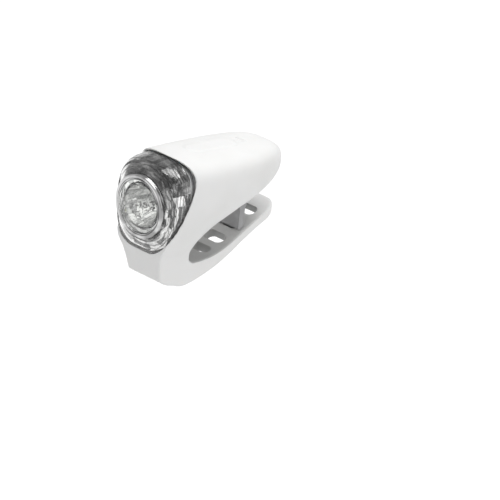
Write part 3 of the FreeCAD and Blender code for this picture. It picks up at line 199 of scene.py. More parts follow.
class Paint(Nodes):
    """A node material while it is being built."""

    COLOUR_A = 6
    COLOUR_B = 7
    COLOUR_RESULT = 2

    def __init__(self, name: str) -> None:
        """Start an empty node material.

        Args:
            name: the finish in plain words.
        """
        self.material = bpy.data.materials.new(name)
        self.material.use_nodes = True
        super().__init__(self.material.node_tree)

    def place(self, scale: Sequence[float], shift: Sequence[float] = (0, 0, 0)) -> Wire:
        """Object coordinates, in metres, through a Mapping node.

        Args:
            scale: what each coordinate is multiplied by.
            shift: what is added to it afterwards.

        Returns:
            The mapped vector.
        """
        coordinates = self.node("ShaderNodeTexCoord").out("Object")
        values = {"Vector": coordinates, "Scale": scale, "Location": shift}
        return self.node("ShaderNodeMapping", None, values).out("Vector")

    def axes(self, vector: Wire) -> tuple[Wire, Wire, Wire]:
        """The three parts of a vector."""
        split = self.node("ShaderNodeSeparateXYZ", None, {"Vector": vector})
        return split.out("X"), split.out("Y"), split.out("Z")

    def lens_axes(self) -> tuple[Wire, Wire, Wire]:
        """The three lens coordinates of the surface, in millimetres."""
        return self.axes(self.place((PER_METRE,) * 3, tuple(-LENS_ORIGIN)))

    def noise(self, size_mm: float, detail: float = 3.0, roughness: float = 0.5,
              stretch: Sequence[float] = (1.0, 1.0, 1.0)) -> Wire:
        """Noise between 0 and 1.

        Args:
            size_mm: how wide its spots are.
            detail: how many finer layers lie over them.
            roughness: how strong each finer layer is.
            stretch: factor on each axis' frequency, below 1 for long spots.

        Returns:
            The noise.
        """
        scale = [s * PER_METRE / size_mm for s in stretch]
        values = {"Vector": self.place(scale), "Scale": 1.0, "Detail": detail,
                  "Roughness": roughness}
        return self.node("ShaderNodeTexNoise", None, values).out("Fac")

    def grains(self, size_mm: float) -> Wire:
        """Distance inside cells about size_mm across."""
        values = {"Vector": self.place([PER_METRE / size_mm] * 3), "Scale": 1.0}
        return self.node("ShaderNodeTexVoronoi", None, values).out("Distance")

    def facets(self, u: Wire, v: Wire, uneven: float = 0.45) -> tuple[Wire, Wire]:
        """Flat facets about 1 by 1 on a surface.

        Args:
            u: one place on the surface.
            v: the other.
            uneven: how far the facets' middles stray from an even grid.

        Returns:
            Each facet's own tone, and the distance from its middle.
        """
        place = self.node("ShaderNodeCombineXYZ", None, {"X": u, "Y": v, "Z": 0.0}).out("Vector")
        cell = self.node("ShaderNodeTexVoronoi", {"voronoi_dimensions": "2D"},
                         {"Vector": place, "Scale": 1.0, "Randomness": uneven})
        return self.axes(cell.out("Color"))[0], cell.out("Distance")

    def blend(self, low: Value, high: Value, share: Value) -> Wire:
        """Colour between two colours."""
        values = {"Factor": share, self.COLOUR_A: rgba(low), self.COLOUR_B: rgba(high)}
        return self.node("ShaderNodeMix", {"data_type": "RGBA"}, values).out(self.COLOUR_RESULT)

    def bump(self, height: Wire, depth_mm: float) -> Wire:
        """Normal from a height between 0 and 1 that stands for depth_mm."""
        values = {"Height": height, "Distance": depth_mm * MM, "Strength": 1.0}
        return self.node("ShaderNodeBump", None, values).out("Normal")

    def surface(self, **values: Value) -> Material:
        """Finish the material with a Principled shader.

        Args:
            values: input to a constant or a wire; an underscore in a name stands for a space.

        Returns:
            The finished material.
        """
        inputs = {key.replace("_", " "): rgba(amount) if "Color" in key else amount
                  for key, amount in values.items()}
        return self.close(self.node("ShaderNodeBsdfPrincipled", None, inputs).out("BSDF"))

    def close(self, shader: Wire) -> Material:
        """Put this shader on the material's surface."""
        self.node("ShaderNodeOutputMaterial", None, {"Surface": shader})
        return self.material


# Finishes

@dataclass(frozen=True)
class Silicone:
    """Smooth matt silicone rubber with a fine moulded grain and faint handling marks.

    The strap's inner face has a coarser, rougher gripping texture, and painted shade makes it a
    darker grey, most so towards the heel; the walls of the strap's slots get painted shade too.
    """

    name: str = "white_silicone"
    colour: tuple = (0.87, 0.87, 0.865)
    shade: tuple = (0.84, 0.84, 0.83)
    # Painted shade: the darker greys of the strap's inner face, darkest at the heel, lighter
    # behind.
    shaded_grip: tuple = (0.44, 0.44, 0.435)
    shaded_grip_behind: tuple = (0.72, 0.72, 0.71)
    # Painted shade on the walls of the strap's slots.
    slot_wall_shade: tuple = (0.36, 0.36, 0.355)
    roughness: float = 0.42
    cloud_mm: float = 16.0
    smudge_mm: float = 5.0
    grain_mm: float = 0.35
    waves_mm: float = 1.6
    grip_grain_mm: float = 0.7
    grain_depth_mm: float = 0.012
    strap_rise: float = 0.26
    grip_below: tuple = (-28.2, -29.4)
    grip_from: tuple = (17.0, 22.0)
    # Span of y over which the painted shade on the strap's inner face lightens towards the tail.
    grip_shade_fades: tuple = (24.0, 60.0)
    # Place of the painted shade on the slots' walls.
    slots_begin: tuple = (30.6, 30.9)
    slots_end: tuple = (60.0, 59.6)
    slots_below: tuple = (-10.0, -11.0)
    slot_ends: tuple = (5.1, 4.8)
    slot_edges: tuple = (-0.78, -0.62)
    slot_pitch: float = 7.6
    slot_zero: float = 31.8

    def _grip_and_shade_mask(self, y: Wire, z: Wire, facing: Wire) -> Wire:
        """1 on the strap's inner face, which gets painted shade: it faces up, below the strap's
        line, from the heel on.
        """
        under = (z - y * self.strap_rise).ramp(*self.grip_below)
        return facing.ramp(0.25, 0.6) * under * y.ramp(*self.grip_from)

    def _slot_shade_mask(self, x: Wire, y: Wire, z: Wire, facing: Wire) -> Wire:
        """1 on the walls of the strap's slots, where shade is painted: a sine of y is high along
        each of the four slots.

        Args:
            x: lens coordinate across, in millimetres.
            y: lens coordinate backwards.
            z: lens coordinate upwards.
            facing: upward part of the normal, small on a slot's wall.

        Returns:
            The mask.
        """
        wave = ((y - self.slot_zero) * (TURN / self.slot_pitch)).sine().ramp(*self.slot_edges)
        row = wave * y.ramp(*self.slots_begin) * y.ramp(*self.slots_end)
        place = x.abs().ramp(*self.slot_ends) * row * z.ramp(*self.slots_below)
        return place * facing.abs().ramp(0.72, 0.6)

    def make(self) -> Material:
        """Build the material."""
        paint = Paint(self.name)
        cloud = paint.noise(self.cloud_mm, 2.0).ramp(0.35, 0.7)
        grain = paint.noise(self.grain_mm, 2.0) * 0.7 + paint.noise(self.waves_mm, 2.0) * 0.3
        smudge = paint.noise(self.smudge_mm, 4.0, 0.6).ramp(0.4, 0.75)
        x, y, z = paint.lens_axes()
        facing = paint.axes(paint.node("ShaderNodeTexCoord").out("Normal"))[2]
        shaded_grip = self._grip_and_shade_mask(y, z, facing)
        slots = self._slot_shade_mask(x, y, z, facing)
        # Painted shade of the strap's inner face, darkest at the heel and lighter towards the tail.
        grip_shade_tone = paint.blend(self.shaded_grip, self.shaded_grip_behind, y.ramp(*self.grip_shade_fades))
        skin_tone = paint.blend(self.colour, self.shade, cloud)
        # Painted shade over the skin's tone: first the strap's inner face, then the slots' walls.
        tone = paint.blend(paint.blend(skin_tone, grip_shade_tone, shaded_grip), self.slot_wall_shade, slots)
        height = grain + paint.grains(self.grip_grain_mm) * shaded_grip * 2.0
        return paint.surface(Base_Color=tone, Roughness=smudge * 0.1 + self.roughness + shaded_grip * 0.15,
                             Normal=paint.bump(height, self.grain_depth_mm), IOR=1.41,
                             Subsurface_Weight=0.08, Subsurface_Scale=1.0,
                             Subsurface_Radius=(0.0015, 0.0013, 0.0012))


@dataclass(frozen=True)
class ClearPlastic:
    """Polished clear plastic with a trace of tint and moulding flow."""

    name: str
    tint: tuple = (0.985, 0.985, 0.98)
    roughness: float = 0.015
    flow_mm: float = 0.01
    ior: float = 1.49

    def make(self) -> Material:
        """Build the material."""
        paint = Paint(self.name)
        flow = paint.noise(9.0, 2.0)
        dust = paint.noise(0.8, 3.0).ramp(0.55, 0.8)
        deeper = tuple(c * 0.97 for c in self.tint)
        return paint.surface(Base_Color=paint.blend(self.tint, deeper, flow), IOR=self.ior,
                             Roughness=dust * 0.03 + self.roughness, Transmission_Weight=1.0,
                             Normal=paint.bump(flow, self.flow_mm))


@dataclass(frozen=True)
class MirrorCoat:
    """Vacuum-metallised plastic, moulded in facets about the lens axis, whose tones from dark to
    bright are painted reflections.
    """

    name: str
    # Painted reflections: the shroud's facets range from dark to bright, the bowl's are brighter.
    bright: tuple = (0.9, 0.9, 0.9)
    dim: tuple = (0.05, 0.05, 0.05)
    bowl_bright: tuple = (0.97, 0.97, 0.96)
    bowl_dim: tuple = (0.5, 0.51, 0.5)
    roughness: float = 0.05
    facets_around: float = 22.0
    facet_mm: float = 1.8
    facet_depth_mm: float = 0.12
    shroud_from: tuple = (11.2, 10.8)
    # Spans of height and depth over which the painted reflections thin out upwards and to the
    # front.
    reflections_fade_up: tuple = (12.0, 6.0)
    reflections_fade_front: tuple = (0.8, 2.0)

    def _shroud_reflections(self, paint: Paint, tone: Wire, y: Wire, z: Wire, lines: Wire) -> Wire:
        """Share of painted reflection on the shroud: bright facets, fewer high up and in front, and
        strokes round it.

        Args:
            paint: the material.
            tone: each facet's own tone, which sets its painted reflection.
            y: depth behind the window, in millimetres.
            z: height above its centre.
            lines: fine dark lines painted into the reflections.

        Returns:
            The share, between 0 and 1.
        """
        strokes = paint.noise(0.9, 3.0, stretch=(0.22, 1.0, 0.22)).ramp(0.52, 0.62)
        high = z.ramp(*self.reflections_fade_up) * 0.8 + 0.2
        near = y.ramp(*self.reflections_fade_front) * 0.7 + 0.3
        return (tone.ramp(0.42, 0.55) * high * near * 0.72 + strokes * 0.28) * lines

    def make(self) -> Material:
        """Build the material: facets counted by the angle about the axis and the depth along it,
        each given a painted reflection.
        """
        paint = Paint(self.name)
        x, y, z = paint.lens_axes()
        reach = (x * x + z * z).root()
        around = z.angle_from(x) * (self.facets_around / TURN)
        tone, middle = paint.facets(around, (y + reach) * (1 / self.facet_mm))
        streak = paint.noise(1.1, 2.0, stretch=(1.0, 0.25, 1.0)).ramp(0.35, 0.65)
        haze = paint.noise(2.5, 3.0).ramp(0.4, 0.8)
        wander = paint.noise(6.0, 2.0) * 4.0
        lines = ((y + reach * 0.5 + wander) * 5.0).sine().ramp(-0.9, -0.3, 0.35, 1.0)
        # Painted reflections in the base colour: the bowl's facets and streaks, then the shroud's.
        light = tone.ramp(0.3, 0.5) * 0.8 + streak * 0.2
        bowl = paint.blend(self.bowl_dim, self.bowl_bright, light)
        shroud = paint.blend(self.dim, self.bright, self._shroud_reflections(paint, tone, y, z, lines))
        height = middle + streak * 0.15 + lines * 0.1
        return paint.surface(Base_Color=paint.blend(shroud, bowl, reach.ramp(*self.shroud_from)),
                             Metallic=1.0, Roughness=haze * 0.07 + self.roughness,
                             Normal=paint.bump(height, self.facet_depth_mm))


@dataclass(frozen=True)
class PolishedRing:
    """Metallised trim with a fine turned grain."""

    name: str = "bright_ring_coat"
    colour: tuple = (0.62, 0.62, 0.62)
    dark: tuple = (0.3, 0.3, 0.3)

    def make(self) -> Material:
        """Build the material: tone wanders round the ring, the grain runs with it."""
        paint = Paint(self.name)
        wander = paint.noise(7.0, 2.0).ramp(0.35, 0.65)
        grain = paint.noise(0.3, 2.0, stretch=(1.0, 0.2, 1.0))
        return paint.surface(Base_Color=paint.blend(self.dark, self.colour, wander), Metallic=1.0,
                             Roughness=grain * 0.1 + 0.1, Normal=paint.bump(grain, 0.008))


@dataclass(frozen=True)
class MouldedPlastic:
    """Opaque moulded plastic with a spark-eroded grain and rubbed high spots."""

    name: str
    colour: tuple
    roughness: float = 0.5
    grain_mm: float = 0.25
    depth_mm: float = 0.015
    lift: float = 1.18

    def make(self) -> Material:
        """Build the material."""
        paint = Paint(self.name)
        cloud = paint.noise(4.0, 4.0, 0.6).ramp(0.4, 0.72)
        lighter = tuple(min(1.0, c * self.lift) for c in self.colour)
        return paint.surface(Base_Color=paint.blend(self.colour, lighter, cloud),
                             Roughness=self.roughness - cloud * 0.08,
                             Normal=paint.bump(paint.noise(self.grain_mm, 2.0), self.depth_mm))


@dataclass(frozen=True)
class PlatedMetal:
    """Plated or rolled metal with fine scratches along one direction."""

    name: str
    colour: tuple
    roughness: float = 0.28
    along: tuple = (1.0, 0.08, 1.0)

    def make(self) -> Material:
        """Build the material."""
        paint = Paint(self.name)
        brush = paint.noise(0.18, 2.0, stretch=self.along)
        stain = paint.noise(2.2, 4.0, 0.6).ramp(0.45, 0.8)
        darker = tuple(c * 0.72 for c in self.colour)
        return paint.surface(Base_Color=paint.blend(self.colour, darker, stain), Metallic=1.0,
                             Roughness=brush * 0.14 + self.roughness,
                             Normal=paint.bump(brush, 0.006))


@dataclass(frozen=True)
class CircuitBoard:
    """Solder-masked board with copper tracks showing through the mask as raised, paler lines."""

    name: str
    mask: tuple = (0.012, 0.1, 0.045)
    track: tuple = (0.03, 0.17, 0.08)
    pitch_mm: float = 1.3

    def make(self) -> Material:
        """Build the material."""
        paint = Paint(self.name)
        x, y, _ = paint.axes(paint.place([PER_METRE / self.pitch_mm] * 3))
        wander = paint.noise(5.0, 1.0) * 5.0
        lines = (x * TURN + wander).sine().ramp(0.45, 0.7)
        crossing = (y * (TURN / 2) + wander).sine().ramp(0.6, 0.75)
        tracks = lines * (1.0 - crossing)
        return paint.surface(Base_Color=paint.blend(self.mask, self.track, tracks),
                             Roughness=0.3 + paint.noise(0.6) * 0.12,
                             Normal=paint.bump(tracks, 0.02))


@dataclass(frozen=True)
class FoilPouch:
    """Crimped aluminium foil of a lithium cell."""

    name: str = "cell_foil"
    colour: tuple = (0.66, 0.67, 0.69)
    crease: tuple = (0.5, 0.51, 0.53)

    def make(self) -> Material:
        """Build the material."""
        paint = Paint(self.name)
        crease = paint.noise(2.4, 5.0, 0.65)
        tone = paint.blend(self.colour, self.crease, crease.ramp(0.4, 0.7))
        return paint.surface(Base_Color=tone, Metallic=0.9, Roughness=crease * 0.25 + 0.22,
                             Normal=paint.bump(crease, 0.12))


@dataclass(frozen=True)
class Foam:
    """Open-cell foam."""

    name: str = "dark_foam"
    colour: tuple = (0.035, 0.035, 0.038)
    walls: tuple = (0.09, 0.09, 0.095)

    def make(self) -> Material:
        """Build the material."""
        paint = Paint(self.name)
        cells = paint.grains(0.45)
        tone = paint.blend(self.colour, self.walls, cells.ramp(0.2, 0.8))
        return paint.surface(Base_Color=tone, Roughness=0.92, Normal=paint.bump(cells, 0.12))


@dataclass(frozen=True)
class Phosphor:
    """Yellow phosphor under the emitter's clear dome."""

    name: str = "emitter_phosphor"

    def make(self) -> Material:
        """Build the material."""
        paint = Paint(self.name)
        cloud = paint.noise(0.7, 2.0)
        return paint.surface(Base_Color=paint.blend((0.62, 0.66, 0.3), (0.78, 0.74, 0.38), cloud),
                             Roughness=0.12 + cloud * 0.08, Coat_Weight=1.0, Coat_Roughness=0.04)


@dataclass(frozen=True)
class FloorWhite:
    """Plain pale floor that is white to the camera and to mirrors, and keeps the shadow."""

    name: str = "pale_floor"
    pale: tuple = (0.72, 0.72, 0.72)
    shade: tuple = (0.7, 0.7, 0.7)
    lift: float = 0.45

    def make(self) -> Material:
        """Build the material: a diffuse floor, with a little glow added for seen rays only."""
        paint = Paint(self.name)
        tone = paint.blend(self.shade, self.pale, paint.noise(60.0, 2.0))
        matt = paint.node("ShaderNodeBsdfDiffuse", None, {"Color": tone}).out("BSDF")
        ray = paint.node("ShaderNodeLightPath")
        straight = ray.out("Is Camera Ray") + ray.out("Is Glossy Ray")
        seen = (straight + ray.out("Is Transmission Ray")) > 0.5
        values = {"Color": WHITE, "Strength": seen * self.lift}
        glow = paint.node("ShaderNodeEmission", None, values).out("Emission")
        both = paint.node("ShaderNodeAddShader", None, {0: matt, 1: glow})
        return paint.close(both.out("Shader"))


# Meshes

def to_row(points: Array) -> Array:
    """Lens coordinates in millimetres to the row frame in metres."""
    return (np.asarray(points, float) + LENS_ORIGIN) * MM


def placed(name: str, data: bpy.types.ID) -> Object:
    """New object in the scene's collection, at the origin."""
    made = bpy.data.objects.new(name, data)
    bpy.context.scene.collection.objects.link(made)
    return made


@dataclass
class Piece:
    """A finished mesh object with its finish and the body it rides on."""

    name: str
    body: str
    slot: str
    replaces: tuple = ()
    crease_degrees: float = 38.0

    def build(self, points: Array, faces: Array, material: Material) -> Object:
        """Put points and quads into a mesh at the origin and dress it.

        Args:
            points: (n, 3) lens coordinates in millimetres.
            faces: (m, 4) point numbers.
            material: the finish.

        Returns:
            The new object, riding on its body.
        """
        mesh = bpy.data.meshes.new(self.name)
        mesh.vertices.add(len(points))
        mesh.vertices.foreach_set("co", to_row(points).astype(np.float32).ravel())
        mesh.loops.add(faces.size)
        mesh.loops.foreach_set("vertex_index", faces.ravel().astype(np.int32))
        mesh.polygons.add(len(faces))
        starts = np.arange(0, faces.size, faces.shape[1], dtype=np.int32)
        mesh.polygons.foreach_set("loop_start", starts)
        mesh.update(calc_edges=True)
        mesh.validate()
        mesh.materials.append(material)
        mesh.polygons.foreach_set("use_smooth", np.ones(len(mesh.polygons), bool))
        mesh.set_sharp_from_angle(angle=math.radians(self.crease_degrees))
        made = placed(self.name, mesh)
        if self.replaces:
            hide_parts(*self.replaces)
        if self.body:
            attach(made, self.body)
        LOG.info("%s: %d points, %d faces", self.name, len(points), len(faces))
        return made


def grid_faces(rows: int, columns: int, close_rows: bool = False) -> Array:
    """Quads of a grid of points numbered row by row, each row being a closed ring.

    Args:
        rows: number of rows of points.
        columns: points in a row.
        close_rows: whether the last row joins the first.

    Returns:
        (n, 4) point numbers.
    """
    r = np.arange(rows if close_rows else rows - 1)
    r, c = np.meshgrid(r, np.arange(columns), indexing="ij")
    r1, c1 = (r + 1) % rows, (c + 1) % columns
    quads = np.stack([r * columns + c, r * columns + c1, r1 * columns + c1, r1 * columns + c], -1)
    return quads.reshape(-1, 4)


def turn_angles(count: int) -> Array:
    """Angles of a whole turn in equal steps, without the last."""
    return np.linspace(0, TURN, count, endpoint=False)


def circles(angle: Array, radius: Sizes, y: Sizes) -> Array:
    """Circles about the lens axis: x is radius times cosine and z is radius times sine.

    Args:
        angle: places round the axis.
        radius: one for the circle, or for each place or row of places.
        y: depth behind the window, in the same form.

    Returns:
        Points, with their coordinates on the last axis.
    """
    return np.stack(np.broadcast_arrays(radius * np.cos(angle), y, radius * np.sin(angle)), -1)


def band(rows: Sequence[Array]) -> tuple[Array, Array]:
    """Closed band through rings of points.

    Args:
        rows: the rings, in order so that the outside is on the right of the path.

    Returns:
        Points and quads.
    """
    faces = grid_faces(len(rows), len(rows[0]), close_rows=True)[:, ::-1]
    return np.stack(rows).reshape(-1, 3), faces


def turned(profile: Sequence[Sequence[float]], around: int,
           closed: bool = True) -> tuple[Array, Array]:
    """Surface of revolution about the lens axis: each (radius, y) of the profile becomes a ring.

    Args:
        profile: radius and y, in order so that the outside is on the right of the path.
        around: points in each ring.
        closed: whether the profile's last ring joins its first.

    Returns:
        Points and quads.
    """
    profile = np.asarray(profile, float)
    points = circles(turn_angles(around), profile[:, :1], profile[:, 1:])
    return points.reshape(-1, 3), grid_faces(len(profile), around, close_rows=closed)[:, ::-1]


def curve_through(points: Sequence[Sequence[float]], steps: int = 12) -> Array:
    """Smooth line through points: a cubic between each pair, with slopes from the neighbours.

    Args:
        points: what the line goes through.
        steps: pieces of line between a pair.

    Returns:
        Points of the line.
    """
    p = np.asarray(points, float)
    p = np.vstack([2 * p[0] - p[1], p, 2 * p[-1] - p[-2]])
    t = np.linspace(0, 1, steps, endpoint=False)[:, None]
    a, b, c, d = p[:-3, None], p[1:-2, None], p[2:-1, None], p[3:, None]
    second, third = 2 * a - 5 * b + 4 * c - d, 3 * b - a - 3 * c + d
    line = 0.5 * (2 * b + (c - a) * t + second * t ** 2 + third * t ** 3)
    return np.vstack([line.reshape(-1, p.shape[1]), p[-2]])


def arc_through(start: Sequence[float], middle: Sequence[float], end: Sequence[float],
                steps: int = 25) -> Array:
    """Circular arc through three points: the centre is as far from the first as from the other two.

    Args:
        start: first point in the side view.
        middle: a point between.
        end: last point.
        steps: how many points the arc gets.

    Returns:
        Points of the arc.
    """
    a, b, c = (np.asarray(p, float) for p in (start, middle, end))
    centre = np.linalg.solve(2 * np.stack([b - a, c - a]), np.array([b @ b - a @ a, c @ c - a @ a]))
    turns = np.unwrap([math.atan2(*(p - centre)[::-1]) for p in (a, b, c)])
    angle = np.linspace(turns[0], turns[2], steps)
    return centre + np.linalg.norm(a - centre) * np.stack([np.cos(angle), np.sin(angle)], 1)


def rounded_corners(corners: Sequence[tuple], steps: int = 10) -> Array:
    """Polygon whose corners are replaced by arcs that touch both sides.

    Args:
        corners: y, z and radius of each.
        steps: points in each arc.

    Returns:
        Points of the rounded polygon.
    """
    pts = np.array([c[:2] for c in corners], float)
    result = []
    for i, (_, _, radius) in enumerate(corners):
        here, before, after = pts[i], pts[i - 1], pts[(i + 1) % len(pts)]
        if radius <= 0:
            result.append(here[None])
            continue
        u = (before - here) / np.linalg.norm(before - here)
        v = (after - here) / np.linalg.norm(after - here)
        half = math.acos(float(np.clip(u @ v, -1, 1))) / 2
        centre = here + (u + v) / np.linalg.norm(u + v) * radius / math.sin(half)
        start, end = here + u * radius / math.tan(half), here + v * radius / math.tan(half)
        t = np.linspace(0, 1, steps)[:, None]
        chord = start + (end - start) * t - centre
        result.append(centre + chord / np.linalg.norm(chord, axis=1, keepdims=True) * radius)
    return np.vstack(result)


# Fields: negative inside a solid, about the distance in millimetres

def join(a: Array, b: Array, radius: float) -> Array:
    """Union of two fields with a fillet of about radius.

    Where the fields differ by less than radius, h is that shortfall and h * h / (4 * radius) is
    taken off.
    """
    h = np.maximum(radius - np.abs(a - b), 0.0)
    return np.minimum(a, b) - h * h / (4 * radius)


def meet(a: Array, b: Array, radius: float) -> Array:
    """Intersection of two fields with an edge rounded to about radius, by the same law as join."""
    h = np.maximum(radius - np.abs(a - b), 0.0)
    return np.maximum(a, b) + h * h / (4 * radius)


def side_view(y: Array, z: Array, polygon: Array) -> Array:
    """Signed distance to a closed polygon in the side view.

    It is the distance to the nearest edge, negative inside, which is where a ray along +y crosses
    an odd number of edges.

    Args:
        y: places in the side view.
        z: their heights.
        polygon: (n, 2) corners.

    Returns:
        The distances, shaped as y and z together.
    """
    y, z = np.broadcast_arrays(y, z)
    shape = y.shape
    p = np.stack([y.ravel(), z.ravel()], 1)
    best = np.full(len(p), np.inf)
    inside = np.zeros(len(p), bool)
    for a, b in zip(polygon, np.roll(polygon, -1, axis=0)):
        edge = b - a
        length = edge @ edge
        if length < 1e-12:
            continue
        t = np.clip(((p - a) @ edge) / length, 0, 1)
        gap = p - a - t[:, None] * edge
        best = np.minimum(best, np.einsum("ij,ij->i", gap, gap))
        if a[1] != b[1]:
            spans = (a[1] > p[:, 1]) != (b[1] > p[:, 1])
            cross = a[0] + (p[:, 1] - a[1]) / (b[1] - a[1]) * edge[0]
            inside ^= spans & (p[:, 0] < cross)
    return (np.sqrt(best) * np.where(inside, -1, 1)).reshape(shape)


def stadium(x: Array, y: Array, start: float, end: float, half_width: float) -> Array:
    """Signed distance in plan to a strip along y with round ends.

    Args:
        x: places across.
        y: places along.
        start: where the strip's front end lies.
        end: where its rear end lies.
        half_width: half its width, which is also its ends' radius.

    Returns:
        The distances.
    """
    beyond = np.maximum(np.maximum(start + half_width - y, y - end + half_width), 0.0)
    return np.hypot(x, beyond) - half_width


def soft_box(x: Array, y: Array, z: Array, centre: Sequence[float], half: Sequence[float],
             radius: float) -> Array:
    """Signed distance to a box with all edges rounded to radius.

    Args:
        x: places across.
        y: places along.
        z: heights.
        centre: the box's middle.
        half: half its three sizes.
        radius: its edges' radius.

    Returns:
        The distances.
    """
    q = [np.abs(v - c) - (h - radius) for v, c, h in zip((x, y, z), centre, half)]
    outside = np.sqrt(sum(np.maximum(v, 0.0) ** 2 for v in q))
    return outside + np.minimum(np.maximum(np.maximum(q[0], q[1]), q[2]), 0.0) - radius


class FieldMesh:
    """Meshes the zero surface of a field on a grid of cubes.

    The silicone moulding has an opening, a saddle, slots and fillets that run into each other,
    which no grid of two parameters gives, so it is meshed this way: each cube that the surface
    passes through gets one point, where the tangent planes at its edges' crossings meet, and each
    crossed edge gets a quad.
    """

    PAIRS = ((0, 0), (1, 1), (2, 2), (0, 1), (0, 2), (1, 2))
    PROBE = 0.02
    PULL = 0.03
    REACH = 0.1

    def __init__(self, shape: Field, low: Sequence[float], high: Sequence[float],
                 step: float) -> None:
        """Keep the field and work out the grid.

        Args:
            shape: the field, called with x, y and z arrays that broadcast.
            low: lowest corner in lens coordinates.
            high: highest corner.
            step: cube size in millimetres.
        """
        self.shape = shape
        self.low = np.asarray(low, float)
        self.step = step
        self.count = np.ceil((np.asarray(high, float) - self.low) / step).astype(int) + 1

    def _slope(self, p: Array) -> Array:
        """Unit gradient of the field at points: its change over a small step along each axis."""
        parts = []
        for d in np.eye(3) * self.PROBE:
            parts.append(self.shape(*(p + d).T) - self.shape(*(p - d).T))
        slope = np.stack(parts, 1)
        return slope / np.maximum(np.linalg.norm(slope, axis=1, keepdims=True), 1e-9)

    def build(self) -> tuple[Array, Array]:
        """Points and outward quads of the zero surface."""
        nx, ny, nz = self.count
        lines = [self.low[i] + self.step * np.arange(self.count[i]) for i in range(3)]
        values = np.broadcast_to(self.shape(lines[0][:, None, None], lines[1][None, :, None],
                                            lines[2][None, None, :]), (nx, ny, nz))
        inside = values < 0
        cell_shape = (nx - 1, ny - 1, nz - 1)
        sums = {key: np.zeros((int(np.prod(cell_shape)), size)) for key, size in
                (("squares", 6), ("planes", 3), ("middle", 4))}
        quads = [self._edges(axis, lines, values, inside, cell_shape, sums) for axis in range(3)]
        used, numbered = np.unique(np.concatenate(quads), return_inverse=True)
        return self._points(used, cell_shape, sums), numbered.reshape(-1, 4)

    def _crossing(self, axis: int, p0: Array, f0: Array, f1: Array) -> Array:
        """Where edges along one axis cross the surface, by four rounds of a bracketed secant.

        Args:
            axis: 0, 1 or 2.
            p0: (n, 3) starts of the edges.
            f0: the field at the starts.
            f1: the field at the ends.

        Returns:
            (n, 3) crossings.
        """
        low, high = np.zeros(len(p0)), np.ones(len(p0))
        t = f0 / (f0 - f1)
        for _ in range(4):
            p = p0.copy()
            p[:, axis] += t * self.step
            f = self.shape(*p.T)
            same = (f < 0) == (f0 < 0)
            low, high = np.where(same, t, low), np.where(same, high, t)
            f0, f1 = np.where(same, f, f0), np.where(same, f1, f)
            t = np.clip(low + (high - low) * f0 / np.where(f0 == f1, 1, f0 - f1), low, high)
        p = p0.copy()
        p[:, axis] += t * self.step
        return p

    def _edges(self, axis: int, lines: list, values: Array, inside: Array, cells: tuple,
               sums: dict) -> Array:
        """Add the crossed edges along one axis to their cubes' sums.

        Args:
            axis: 0, 1 or 2.
            lines: the grid's places along each axis.
            values: the field at the grid's points.
            inside: where it is negative.
            cells: number of cubes along each axis.
            sums: for each cube, the sums that its point is worked out from; added to here.

        Returns:
            (n, 4) cube numbers round each crossed edge, ordered so that quads face outwards.
        """
        nxt = [slice(None)] * 3
        cur = [slice(None)] * 3
        cur[axis], nxt[axis] = slice(None, -1), slice(1, None)
        crossed = inside[tuple(cur)] != inside[tuple(nxt)]
        others = [a for a in range(3) if a != axis]
        for a in others:
            for border in (0, -1):
                edge = [slice(None)] * 3
                edge[a] = border
                crossed[tuple(edge)] = False
        index = np.argwhere(crossed)
        end = index.copy()
        end[:, axis] += 1
        start = np.stack([lines[a][index[:, a]] for a in range(3)], 1)
        p = self._crossing(axis, start, values[tuple(index.T)], values[tuple(end.T)])
        n = self._slope(p)
        d = np.einsum("ij,ij->i", n, p)
        squares = np.stack([n[:, i] * n[:, j] for i, j in self.PAIRS], 1)
        a, b = others if axis != 1 else others[::-1]
        ring = []
        for da, db in ((0, 0), (-1, 0), (-1, -1), (0, -1)):
            cell = index.copy()
            cell[:, a] += da
            cell[:, b] += db
            number = np.ravel_multi_index(tuple(cell.T), cells)
            ring.append(number)
            for key, block in (("squares", squares), ("planes", n * d[:, None]),
                               ("middle", np.column_stack([p, np.ones(len(p))]))):
                for column in range(block.shape[1]):
                    sums[key][:, column] += np.bincount(number, block[:, column], len(sums[key]))
        ring = np.stack(ring, 1)
        flip = ~inside[tuple(index.T)]
        ring[flip] = ring[flip][:, ::-1]
        return ring

    def _points(self, used: Array, cells: tuple, sums: dict) -> Array:
        """The point of each used cube: where its tangent planes meet, drawn a little inwards.

        Args:
            used: numbers of the cubes that the surface passes through.
            cells: number of cubes along each axis.
            sums: what the crossed edges added up to in each cube.

        Returns:
            (n, 3) points.
        """
        squares, planes, middle = (sums[k][used] for k in ("squares", "planes", "middle"))
        centre = middle[:, :3] / middle[:, 3:]
        a = np.empty((len(used), 3, 3))
        for column, (i, j) in enumerate(self.PAIRS):
            a[:, i, j] = a[:, j, i] = squares[:, column]
        a[:, range(3), range(3)] += self.PULL
        best = np.linalg.solve(a, (planes + self.PULL * centre)[:, :, None])[:, :, 0]
        corner = self.low + self.step * np.stack(np.unravel_index(used, cells), 1)
        return np.clip(best, corner - self.REACH * self.step, corner + (1 + self.REACH) * self.step)


# Forms

BLUNT = 2.2
RAY_TO_DISTANCE = 0.92


def smooth_step(share: Array) -> Array:
    """Smooth rise from 0 to 1: t * t * (3 - 2 * t), with t the share kept between 0 and 1."""
    t = np.clip(share, 0, 1)
    return t * t * (3 - 2 * t)


def power_of(fullness: Sizes) -> Sizes:
    """Exponent of the curve |x|^p + |z|^p = 1 that is as full as a quarter with these handles."""
    return np.log(0.5) / np.log(0.5 + 0.375 * fullness)


